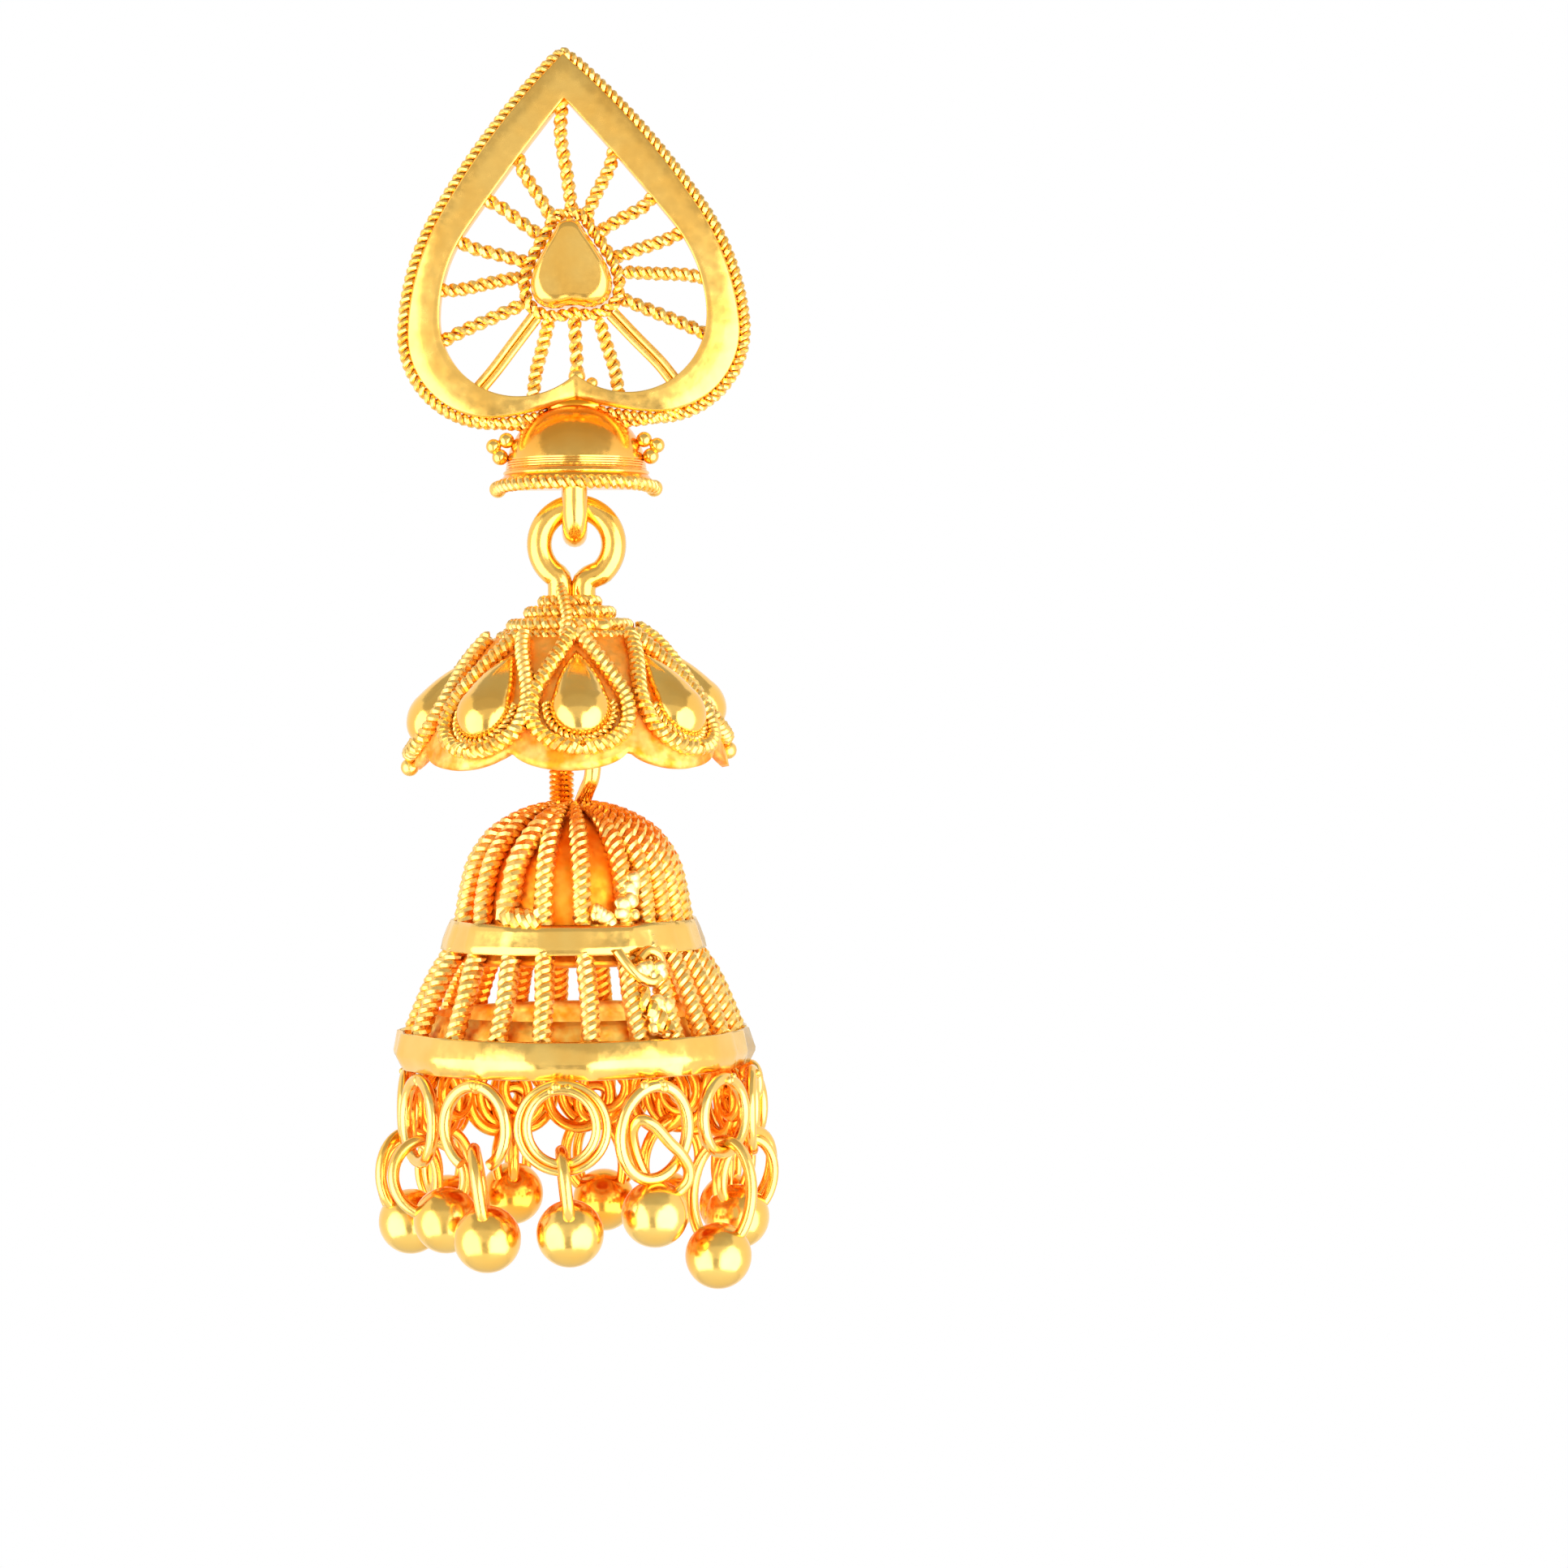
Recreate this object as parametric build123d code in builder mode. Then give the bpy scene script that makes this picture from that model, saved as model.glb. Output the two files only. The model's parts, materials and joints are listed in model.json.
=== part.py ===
from build123d import *
from math import cos, radians, sin
import os

# A jhumka earring: a leaf-shaped filigree stud with a half-round cup under its cusp, an
# eight-petalled umbrella hung from the cup, and a wire-ribbed bell hung from the umbrella
# with a ball drop at each of its twelve hoops. Millimetres, +Z up, -Y the front.
# The origin is at the back of the stud's centre drop, where the ear post leaves it.

GAP = 0.04  # between pieces that are soldered or seated together
RUN = 0.15  # between two loops that swing in each other

# stud
BAND_BACK = 0.04  # the stud's flat back stands this far in front of the origin
BAND_THICK = 1.05
EDGE_WIRE = 0.62
SPOKE_WIRE = 0.68
SPOKE_DEPTH = 0.62
COLLAR_WIRE = 0.72
DROP_STRAIGHT = 1.3
DROP_DOME = 0.85
DROP_TAPER = 38
POST_R = 0.45
POST_LENGTH = 10.0

# Half outlines of the leaf shapes, as (x, z): tip, upper flank, lower flank, widest point,
# bottom of the lobe, cusp between the lobes.
BAND_OUTER = [(0, 9.7), (3.45, 6.32), (5.95, 2.9), (7.52, -2.2), (3.5, -6.2), (0, -5.5)]
BAND_INNER = [(0, 8.0), (2.3, 5.45), (4.75, 2.5), (6.2, -1.6), (3.1, -5.3), (0, -4.4)]
DROP_EDGE = [(0, 2.7), (0.95, 1.62), (1.5, 0.75), (1.85, -0.4), (0.9, -1.4), (0, -1.2)]

# Spokes of the right half: where each leaves the frame and where it meets the collar.
SPOKES = [
    # frame x, frame z, collar x, collar z
    (2.25, 6.2, 0.70, 3.00),
    (4.20, 3.8, 1.35, 2.10),
    (5.50, 2.1, 1.90, 1.00),
    (6.60, -0.3, 2.20, 0.20),
    (6.60, -3.0, 2.10, -0.95),
    (4.85, -5.3, 1.60, -1.70),
    (2.05, -5.6, 1.10, -1.75),
]
MIDDLE_SPOKES = [(0, 8.6, 0, 3.20), (0, -5.0, 0, -1.60)]

# cup under the stud
CUP_R = 3.3
CUP_CENTRE_Z = -9.0
CUP_FLOOR_Z = -9.75
RIM_WIRE = 0.6
RIM_PATH_R = 3.66
RIM_Z = -9.48
RIM_TIP_R = 0.4
RIM_TIP_TURN = 6.5  # how far each end of the rim stops short of the cup's flat back, in degrees
GRANULE_R = 0.36
GRANULES = [(3.2, -7.45), (3.78, -7.7), (3.55, -8.2)]

# loops and eyes of the two swinging links
HANG_Y = -1.9
LINK_WIRE = 1.15
EYE_R = 1.72
LOOP_R = 1.3
LOWER_LINK_TURN = 30  # the umbrella's inner loop is turned this far from the X axis

# umbrella
CROWN_TOP_Z = -14.68
# coiled rope rings of the crown: outer radius, centre height, wire
CROWN_RINGS = [(1.5, -15.02, 0.6), (2.15, -15.52, 0.62), (2.95, -16.12, 0.66)]
SKIRT_TOP_Z = -16.55
SKIRT_WALL = 0.4
# outer face of the skirt's sheet: radius, height
SKIRT = [(3.35, -16.55), (4.75, -18.1), (6.15, -19.95), (6.95, -21.4), (7.3, -22.65)]
PETALS = 8
PETAL_TURN = 7
PETAL_BALL_R = 1.38
PETAL_SHOULDER = 62  # where the drop's cone leaves its ball, in degrees from the drop's axis
PETAL_BALL = (6.38, -20.1)
PETAL_TIP = (4.3, -17.2)
SCALLOP_R = 1.7
SCALLOP_Z = -23.55

# bell
EYE_FOOT_Z = -24.16  # where the bell's eye stands on its crown
RIBS = 24
RIB_WIRE = 0.78
# centre line of a rib: radius, height
RIB_LINE = [
    (3.08, -25.33),
    (3.85, -25.90),
    (4.64, -27.00),
    (5.05, -28.30),
    (5.40, -29.75),
    (5.87, -30.95),
    (6.62, -32.50),
    (7.72, -35.10),
]
RIB_CUT_Z = -34.7
CAP_EDGE = [(3.8, -25.22), (3.15, -26.0)]
CAP_WALL = 0.9
DOME_WALL = 0.3
# where the dome's sheet is fitted behind the ribs, as shares of a rib's length
DOME_STATIONS = [0.06, 0.14, 0.22, 0.34, 0.46, 0.59]
UPPER_BAND = (-29.7, -30.9)
UPPER_BAND_WALL = 0.2
LOWER_BAND_WALL = 0.35
# outer face of the lower band: top edge, ridge, bottom edge
LOWER_BAND = [(8.1, -34.75), (8.42, -35.6), (8.15, -36.4)]

# hoops and ball drops
STATIONS = 12
STATION_TURN = -2.6
STATION_R = 8.0
HOOP_WIRE = 0.56
HOOP_R = 1.67
HOOP_TOP_Z = -36.45
DROP_LOOP_R = 1.62
BALL_R = 1.5
BALL_BELOW_LOOP = 2.42
# How each ball drop has come to rest in its hoop, in degrees: sideways, outwards.
DROP_REST = [
    (2, -2), (9, -8), (-5, 4), (3, 0), (-4, -3), (5, 2),
    (-2, 3), (4, -4), (-6, 2), (3, 3), (8, -6), (5, 3),
]

FRONT = Plane.XZ  # normal towards the viewer, local x = X, local y = Z
HANG = Plane.XZ.offset(-HANG_Y)
HANG_AXIS = Axis((0, HANG_Y, 0), (0, 0, 1))

os.makedirs("parts", exist_ok=True)


def leaf(outline, grow=0.0):
    """A flat leaf with its point up, from the half outline's six points."""
    tip, upper, lower, widest, lobe, cusp = outline
    with BuildSketch() as flat:
        with BuildLine():
            flank = ThreePointArc(tip, upper, lower)
            side = TangentArc(flank @ 1, widest, tangent=flank % 1)
            belly = TangentArc(side @ 1, lobe, tangent=side % 1)
            TangentArc(belly @ 1, cusp, tangent=belly % 1)
            mirror(about=Plane.YZ)
        make_face()
        if grow:
            offset(amount=grow, kind=Kind.ARC)
    return flat.sketch


def wire_loop(plane, radius, leg):
    """A U of link wire in a plane: a half ring below the plane's origin, legs going up."""
    with BuildPart() as loop:
        with BuildLine(plane):
            arc = CenterArc((0, 0), radius, 180, 180)
            Line(arc @ 1, (radius, leg))
            Line((-radius, leg), arc @ 0)
        with BuildSketch(Plane(origin=plane.from_local_coords((-radius, leg, 0)), z_dir=(0, 0, -1))):
            Circle(LINK_WIRE / 2)
        sweep()
    return loop.part


def wire_ring(plane, radius, wire):
    """A closed ring of round wire that lies in a plane, about the plane's origin."""
    with BuildPart(plane) as ring:
        Torus(radius, wire / 2)
    return ring.part


def bearing(angle):
    """The outward direction at an angle from the front, positive towards +X."""
    return Vector(sin(radians(angle)), -cos(radians(angle)), 0)


# ---------------------------------------------------------------- stud

with BuildPart() as leaf_frame:
    with BuildSketch(FRONT.offset(BAND_BACK)):
        add(leaf(BAND_OUTER))
        add(leaf(BAND_INNER), mode=Mode.SUBTRACT)
    extrude(amount=BAND_THICK)
leaf_frame.part.label = "leaf_frame"
export_step(leaf_frame.part, "parts/leaf_frame.step")

edge_grow = EDGE_WIRE / 2 + GAP
with BuildPart() as leaf_rope_edge:
    edge_line = leaf(BAND_OUTER, edge_grow).face().outer_wire()
    edge_path = FRONT.offset(BAND_BACK + BAND_THICK / 2).from_local_coords(edge_line)
    with BuildSketch(Plane(origin=edge_path @ 0, z_dir=edge_path % 0)):
        Circle(EDGE_WIRE / 2)
    sweep(path=edge_path, transition=Transition.ROUND)
leaf_rope_edge.part.label = "leaf_rope_edge"
export_step(leaf_rope_edge.part, "parts/leaf_rope_edge.step")

spoke_rows = SPOKES + [(-a, b, -c, d) for a, b, c, d in SPOKES] + MIDDLE_SPOKES
with BuildPart() as filigree_spokes:
    for frame_x, frame_z, collar_x, collar_z in spoke_rows:
        outer_end = Vector(frame_x, -SPOKE_DEPTH, frame_z)
        inner_end = Vector(collar_x, -SPOKE_DEPTH, collar_z)
        with BuildSketch(Plane(origin=outer_end, z_dir=inner_end - outer_end)):
            Circle(SPOKE_WIRE / 2)
        extrude(amount=(inner_end - outer_end).length)
    with BuildSketch(FRONT.offset(BAND_BACK)):
        add(leaf(DROP_EDGE, COLLAR_WIRE + GAP))
    extrude(amount=COLLAR_WIRE + SPOKE_DEPTH / 2)
    with BuildSketch(FRONT):
        add(leaf(DROP_EDGE, GAP))
    extrude(amount=BAND_THICK * 2, mode=Mode.SUBTRACT)
    with BuildSketch(FRONT):
        add(leaf(BAND_INNER, -GAP))
    extrude(amount=BAND_THICK * 2, mode=Mode.INTERSECT)
filigree_spokes.part.label = "filigree_spokes"
export_step(filigree_spokes.part, "parts/filigree_spokes.step")

with BuildPart() as centre_drop:
    with BuildSketch(FRONT.offset(GAP)):
        add(leaf(DROP_EDGE))
    extrude(amount=DROP_STRAIGHT)
    with BuildSketch(FRONT.offset(GAP + DROP_STRAIGHT)):
        add(leaf(DROP_EDGE))
    extrude(amount=DROP_DOME, taper=DROP_TAPER)
centre_drop.part.label = "centre_drop"
export_step(centre_drop.part, "parts/centre_drop.step")

with BuildPart() as ear_post:
    with BuildSketch(Plane.XZ):
        Circle(POST_R)
    extrude(amount=-POST_LENGTH)
    chamfer(ear_post.faces().sort_by(Axis.Y)[-1].edges(), POST_R / 3)
ear_post.part.label = "ear_post"
export_step(ear_post.part, "parts/ear_post.step")

with BuildPart() as base_cup:
    with BuildSketch(FRONT):
        with BuildLine():
            dome = CenterArc((0, CUP_CENTRE_Z), CUP_R, 0, 90)
            Line(dome @ 1, (0, CUP_FLOOR_Z))
            Line((0, CUP_FLOOR_Z), (CUP_R, CUP_FLOOR_Z))
            Line((CUP_R, CUP_FLOOR_Z), dome @ 0)
        make_face()
    revolve(axis=Axis.Z, revolution_arc=-180)
    with BuildSketch(FRONT.offset(-GAP)):
        add(leaf(BAND_OUTER, EDGE_WIRE + 2 * GAP))
    extrude(amount=BAND_BACK + BAND_THICK + 2 * GAP, mode=Mode.SUBTRACT)
base_cup.part.label = "base_cup"
export_step(base_cup.part, "parts/base_cup.step")

with BuildPart() as cup_rim:
    rim_end = Vector(RIM_PATH_R, 0, RIM_Z).rotate(Axis.Z, -RIM_TIP_TURN)
    with BuildSketch(Plane(origin=rim_end, z_dir=rim_end.cross(Vector(0, 0, 1)))):
        Circle(RIM_WIRE / 2)
    revolve(axis=Axis.Z, revolution_arc=2 * RIM_TIP_TURN - 180)
    for end in (rim_end, Vector(-rim_end.X, rim_end.Y, rim_end.Z)):
        # each tip's seam faces away from the rim
        with Locations(Plane(origin=end, x_dir=(0, 1, 0), z_dir=(0, 0, 1))):
            Sphere(RIM_TIP_R)
cup_rim.part.label = "cup_rim"
export_step(cup_rim.part, "parts/cup_rim.step")

for side, side_name in ((-1, "left"), (1, "right")):
    grains = [Vector(side * x, -SPOKE_DEPTH, z) for x, z in GRANULES]
    middle = sum(grains, Vector()) / len(grains)
    with BuildPart() as granules:
        for grain in grains:
            # each ball's seam faces away from the other balls
            with Locations(Plane(origin=grain, x_dir=grain - middle, z_dir=(0, -1, 0))):
                Sphere(GRANULE_R)
    granules.part.label = f"granules_{side_name}"
    export_step(granules.part, f"parts/granules_{side_name}.step")

# The upper link: the stud's loop lies in the YZ plane, the umbrella's eye in the XZ plane.
upper_eye_z = CROWN_TOP_Z + GAP + EYE_R + LINK_WIRE / 2
upper_pivot_z = upper_eye_z + EYE_R - LINK_WIRE - RUN
loop_plane = Plane(origin=(0, HANG_Y, upper_pivot_z + LOOP_R), x_dir=(0, 1, 0), z_dir=(1, 0, 0))
with BuildPart() as stud_loop:
    add(wire_loop(loop_plane, LOOP_R, CUP_FLOOR_Z - GAP - upper_pivot_z - LOOP_R))
stud_loop.part.label = "stud_loop"
export_step(stud_loop.part, "parts/stud_loop.step")

# ---------------------------------------------------------------- umbrella

with BuildPart() as umbrella_eye:
    add(wire_ring(Plane(origin=(0, HANG_Y, upper_eye_z), z_dir=(0, -1, 0)), EYE_R, LINK_WIRE))
umbrella_eye.part.label = "umbrella_eye"
export_step(umbrella_eye.part, "parts/umbrella_eye.step")

with BuildPart() as crown:
    for outer_r, height, wire in CROWN_RINGS:
        with BuildSketch(HANG):
            with Locations((outer_r - wire / 2, height)):
                Circle(wire / 2)
        revolve(axis=HANG_AXIS)
    with BuildSketch(HANG):
        with BuildLine():
            steps = [(r - w / 2, z) for r, z, w in CROWN_RINGS]
            foot_z = SKIRT_TOP_Z + GAP
            Polyline((0, CROWN_TOP_Z), (steps[0][0], CROWN_TOP_Z), *steps, (steps[-1][0], foot_z),
                     (0, foot_z), close=True)
        make_face()
    revolve(axis=HANG_AXIS)
    split(bisect_by=Plane.XY.offset(SKIRT_TOP_Z + GAP), keep=Keep.TOP)
crown.part.label = "crown"
export_step(crown.part, "parts/crown.step")


def skirt_solid(grow):
    """The solid under the skirt's outer face, grown by a distance."""
    with BuildPart() as solid:
        with BuildSketch(HANG):
            with BuildLine():
                face_line = Spline(*[(r + grow, z) for r, z in SKIRT])
                Line(face_line @ 1, (0, SKIRT[-1][1]))
                Line((0, SKIRT[-1][1]), (0, SKIRT[0][1] + grow))
                Polyline((0, SKIRT[0][1] + grow), (SKIRT[0][0] + grow, SKIRT[0][1] + grow),
                         face_line @ 0)
            make_face()
        revolve(axis=HANG_AXIS)
    return solid.part


with BuildPart() as umbrella_skirt:
    with BuildSketch(HANG):
        with BuildLine():
            outer_face = Spline(*SKIRT)
            inner_rows = [(r - SKIRT_WALL, z - SKIRT_WALL / 2) for r, z in SKIRT[:-1]]
            inner_face = Spline((SKIRT[-1][0] - SKIRT_WALL, SKIRT[-1][1]), *reversed(inner_rows))
            Line(outer_face @ 1, inner_face @ 0)
            Polyline(inner_face @ 1, (0, inner_rows[0][1]), (0, SKIRT_TOP_Z), outer_face @ 0)
        make_face()
    revolve(axis=HANG_AXIS)
    for petal in range(PETALS):
        valley = bearing(PETAL_TURN + (petal + 0.5) * 360 / PETALS)
        with BuildSketch(Plane(origin=(0, HANG_Y, SCALLOP_Z), z_dir=valley)):
            Circle(SCALLOP_R)
        extrude(amount=SKIRT[-1][0] * 2, mode=Mode.SUBTRACT)
umbrella_skirt.part.label = "umbrella_skirt"
export_step(umbrella_skirt.part, "parts/umbrella_skirt.step")

# A petal drop is a teardrop of revolution about its own sloping axis, seated on the skirt.
skirt_seat = skirt_solid(GAP)
slope = Vector(PETAL_TIP[0] - PETAL_BALL[0], PETAL_TIP[1] - PETAL_BALL[1])
for petal in range(PETALS):
    out = bearing(PETAL_TURN + petal * 360 / PETALS)
    centre = Vector(0, HANG_Y, PETAL_BALL[1]) + out * PETAL_BALL[0]
    drop_axis = out * slope.X + Vector(0, 0, slope.Y)
    drop_plane = Plane(origin=centre, x_dir=drop_axis, z_dir=out.cross(Vector(0, 0, 1)))
    with BuildPart() as petal_drop:
        with BuildSketch(drop_plane):
            with BuildLine():
                round_end = CenterArc((0, 0), PETAL_BALL_R, PETAL_SHOULDER, 180 - PETAL_SHOULDER)
                Line(round_end @ 0, (slope.length, 0))
                Line((slope.length, 0), round_end @ 1)
            make_face()
        revolve(axis=Axis(centre, drop_axis))
        add(skirt_seat, mode=Mode.SUBTRACT)
    petal_drop.part.label = f"petal_drop_{petal + 1}"
    export_step(petal_drop.part, f"parts/petal_drop_{petal + 1}.step")

# The lower link: the umbrella's inner loop, and the bell's eye square to it.
lower_eye_z = EYE_FOOT_Z + EYE_R + LINK_WIRE / 2
lower_pivot_z = lower_eye_z + EYE_R - LINK_WIRE - RUN
loop_dir = Vector(cos(radians(LOWER_LINK_TURN)), sin(radians(LOWER_LINK_TURN)), 0)
eye_dir = Vector(sin(radians(LOWER_LINK_TURN)), -cos(radians(LOWER_LINK_TURN)), 0)
inner_plane = Plane(origin=(0, HANG_Y, lower_pivot_z + LOOP_R), x_dir=loop_dir, z_dir=eye_dir)
with BuildPart() as inner_loop:
    ceiling_z = SKIRT_TOP_Z - SKIRT_WALL / 2 - GAP
    add(wire_loop(inner_plane, LOOP_R, ceiling_z - lower_pivot_z - LOOP_R))
inner_loop.part.label = "inner_loop"
export_step(inner_loop.part, "parts/inner_loop.step")

# ---------------------------------------------------------------- bell

with BuildPart() as bell_eye:
    eye_plane = Plane(origin=(0, HANG_Y, lower_eye_z), x_dir=eye_dir, z_dir=loop_dir)
    add(wire_ring(eye_plane, EYE_R, LINK_WIRE))
bell_eye.part.label = "bell_eye"
export_step(bell_eye.part, "parts/bell_eye.step")

with BuildPart() as rib:
    with BuildLine(HANG):
        rib_line = Spline(*RIB_LINE)
    with BuildSketch(Plane(origin=rib_line @ 0, z_dir=rib_line % 0)):
        Circle(RIB_WIRE / 2)
    sweep()

with BuildPart() as rib_cage:
    with BuildSketch(HANG):
        with BuildLine():
            cap_top = (0, EYE_FOOT_Z - GAP)
            cap_under = (0, cap_top[1] - CAP_WALL)
            cap_out = TangentArc(cap_top, CAP_EDGE[0], tangent=(1, 0))
            cap_in = TangentArc(cap_under, CAP_EDGE[1], tangent=(1, 0))
            Line(cap_top, cap_under)
            Line(*CAP_EDGE)
        make_face()
    revolve(axis=HANG_AXIS)
    for turn in range(RIBS):
        add(rib.part.rotate(HANG_AXIS, turn * 360 / RIBS))
    split(bisect_by=Plane.XY.offset(RIB_CUT_Z), keep=Keep.TOP)
rib_cage.part.label = "rib_cage"
export_step(rib_cage.part, "parts/rib_cage.step")

# The dome's sheet lies behind the ribs, from the cap's edge to the foot of the upper band.
with BuildPart() as bell_dome:
    with BuildSketch(HANG):
        with BuildLine():
            ribs = Spline(*RIB_LINE, mode=Mode.PRIVATE)
            sheet_faces = []
            for depth in (RIB_WIRE / 2 + GAP, RIB_WIRE / 2 + GAP + DOME_WALL):
                inward = [Vector((ribs % t).Y, -(ribs % t).X) * depth for t in DOME_STATIONS]
                rows = [ribs @ t + step for t, step in zip(DOME_STATIONS, inward)]
                sheet_faces.append(Spline(*rows))
            Line(sheet_faces[0] @ 0, sheet_faces[1] @ 0)
            Line(sheet_faces[0] @ 1, sheet_faces[1] @ 1)
        make_face()
    revolve(axis=HANG_AXIS)
bell_dome.part.label = "bell_dome"
export_step(bell_dome.part, "parts/bell_dome.step")

rib_at_band = RIB_LINE[4:6]
band_inner = [(r + RIB_WIRE / 2 + GAP, z) for (r, _), z in zip(rib_at_band, UPPER_BAND)]
with BuildPart() as upper_band:
    with BuildSketch(HANG):
        with BuildLine():
            band_outer = [(r + UPPER_BAND_WALL, z) for r, z in band_inner]
            Polyline(*band_inner, *reversed(band_outer), close=True)
        make_face()
    revolve(axis=HANG_AXIS)
upper_band.part.label = "upper_band"
export_step(upper_band.part, "parts/upper_band.step")

with BuildPart() as lower_band:
    with BuildSketch(HANG):
        with BuildLine():
            band_inside = [(r - LOWER_BAND_WALL, z) for r, z in LOWER_BAND]
            Polyline(*LOWER_BAND, *reversed(band_inside), close=True)
        make_face()
    revolve(axis=HANG_AXIS)
lower_band.part.label = "lower_band"
export_step(lower_band.part, "parts/lower_band.step")

# Twelve hoops stand under the lower band, each in the wall's own plane. A ball drop's loop
# passes over the foot of its hoop, and hangs a little askew as it has come to rest.
hoop_z = HOOP_TOP_Z - HOOP_R - HOOP_WIRE / 2
foot_z = hoop_z - HOOP_R
drop_loop_z = foot_z + HOOP_WIRE + GAP - DROP_LOOP_R
for station in range(STATIONS):
    angle = STATION_TURN + station * 360 / STATIONS
    out = bearing(angle)
    along = out.cross(Vector(0, 0, 1))
    centre = Vector(0, HANG_Y, 0) + out * STATION_R
    with BuildPart() as hoop:
        add(wire_ring(Plane(origin=centre + Vector(0, 0, hoop_z), z_dir=out), HOOP_R, HOOP_WIRE))
    hoop.part.label = f"hoop_{station + 1:02d}"
    export_step(hoop.part, f"parts/hoop_{station + 1:02d}.step")

    sideways, outwards = DROP_REST[station]
    foot = centre + Vector(0, 0, foot_z)
    with BuildPart(mode=Mode.PRIVATE) as upright:
        loop_centre = centre + Vector(0, 0, drop_loop_z)
        add(wire_ring(Plane(origin=loop_centre, x_dir=out, z_dir=along), DROP_LOOP_R, HOOP_WIRE))
        # the ball's seam faces away from the loop
        ball_centre = loop_centre - Vector(0, 0, BALL_BELOW_LOOP)
        with Locations(Plane(origin=ball_centre, x_dir=along, z_dir=(0, 0, 1))):
            Sphere(BALL_R)
    with BuildPart() as ball_drop:
        leaned = upright.part.rotate(Axis(foot, out), sideways)
        add(leaned.rotate(Axis(foot, along), outwards))
    ball_drop.part.label = f"ball_drop_{station + 1:02d}"
    export_step(ball_drop.part, f"parts/ball_drop_{station + 1:02d}.step")
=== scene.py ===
import json
import random
from math import asin, atan2, cos, degrees, pi, radians, sin, sqrt, tau

import bmesh
import bpy
from mathutils import Matrix, Vector
from mathutils.geometry import interpolate_bezier, intersect_line_line


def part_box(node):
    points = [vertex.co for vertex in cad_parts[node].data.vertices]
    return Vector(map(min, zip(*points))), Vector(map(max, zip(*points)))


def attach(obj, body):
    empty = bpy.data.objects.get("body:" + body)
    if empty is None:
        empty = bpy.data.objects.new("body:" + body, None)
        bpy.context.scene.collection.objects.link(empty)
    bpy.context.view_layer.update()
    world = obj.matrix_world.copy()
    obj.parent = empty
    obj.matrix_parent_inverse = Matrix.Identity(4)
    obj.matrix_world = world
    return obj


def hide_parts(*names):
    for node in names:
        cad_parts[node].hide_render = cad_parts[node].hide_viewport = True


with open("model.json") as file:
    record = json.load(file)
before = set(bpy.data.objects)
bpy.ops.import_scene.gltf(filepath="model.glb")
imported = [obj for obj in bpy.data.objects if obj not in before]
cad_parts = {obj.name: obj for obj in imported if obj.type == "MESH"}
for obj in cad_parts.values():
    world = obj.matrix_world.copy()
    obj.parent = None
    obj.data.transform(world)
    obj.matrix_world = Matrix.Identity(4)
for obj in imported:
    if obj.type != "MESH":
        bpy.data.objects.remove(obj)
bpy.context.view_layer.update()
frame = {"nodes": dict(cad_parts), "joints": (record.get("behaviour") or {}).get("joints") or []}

# ------------------------------------------------------------------ leaf frame
# The frame of the stud is a flat gold strip, bent on edge round a leaf-shaped former and
# soldered at the cusp. Its face is filed so that it falls away a little towards the outside.
# The spokes, the rope edge and the cup are all soldered to it.

mm = 0.001
FRONT = Vector((0, -1, 0))
# The line that the whole earring hangs from and swings on.
hang = Vector((0, frame["joints"][0]["pos_m"][1], 0))
# Half outlines in millimetres (x, z): tip, upper flank, lower flank, widest point, bottom of the
# lobe, cusp.
BAND_OUTER = [(0, 10.45), (3.5, 6.72), (6.05, 3.1), (7.72, -2.2), (3.55, -6.28), (0, -5.52)]
BAND_INNER = [(0, 8.35), (2.32, 5.6), (4.75, 2.5), (6.2, -1.6), (3.1, -5.3), (0, -4.4)]
ARC_STEPS = 22
# The strip's section: share of the way from the outer to the inner outline, and share of the
# strip's depth from the back to the front.
BAND_SECTION = [
    # across, forward
    (0.00, 0.00),
    (0.00, 0.72),
    (0.03, 0.79),
    (0.10, 0.845),
    (0.45, 0.92),
    (0.80, 0.985),
    (0.92, 1.00),
    (0.985, 0.975),
    (1.00, 0.91),
    (1.00, 0.00),
]


def upright(points):
    """Points in an upright plane, given in millimetres across and up."""
    return [Vector((x, 0, z)) * mm for x, z in points]


def mirrored(points):
    """The points on the left that match points on the right, in the opposite order."""
    return [Vector((-p.x, p.y, p.z)) for p in reversed(points)]


def leaf_outline(half):
    """The closed outline of a leaf that stands point up. On each side an arc runs down the
    flank, and three more run on smoothly round the lobe into the cusp."""
    tip, upper, lower, widest, lobe, cusp = upright(half)
    above, below = (tip + upper) / 2, (upper + lower) / 2
    centre = intersect_line_line(above, above + (upper - tip).cross(FRONT),
                                 below, below + (lower - upper).cross(FRONT))[0]
    side = [tip]
    for end in (lower, widest, lobe, cusp):
        start = side[-1]
        if end is not lower:
            square = heading.cross(FRONT)
            chord = end - start
            centre = start + square * chord.length_squared / (2 * square.dot(chord))
        turn = (start - centre).angle(end - centre)
        axis = (start - centre).cross(end - centre).normalized()
        side += [centre + Matrix.Rotation(turn * k / ARC_STEPS, 3, axis) @ (start - centre)
                 for k in range(1, ARC_STEPS + 1)]
        heading = axis.cross(end - centre).normalized()
    return side + mirrored(side[1:-1])


def draw_line(mesh, points, closed=False):
    """A line of edges through points. Gives back its edges."""
    verts = [mesh.verts.new(p) for p in points]
    pairs = list(zip(verts, verts[1:])) + ([(verts[-1], verts[0])] if closed else [])
    return [mesh.edges.new(pair) for pair in pairs]


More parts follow.
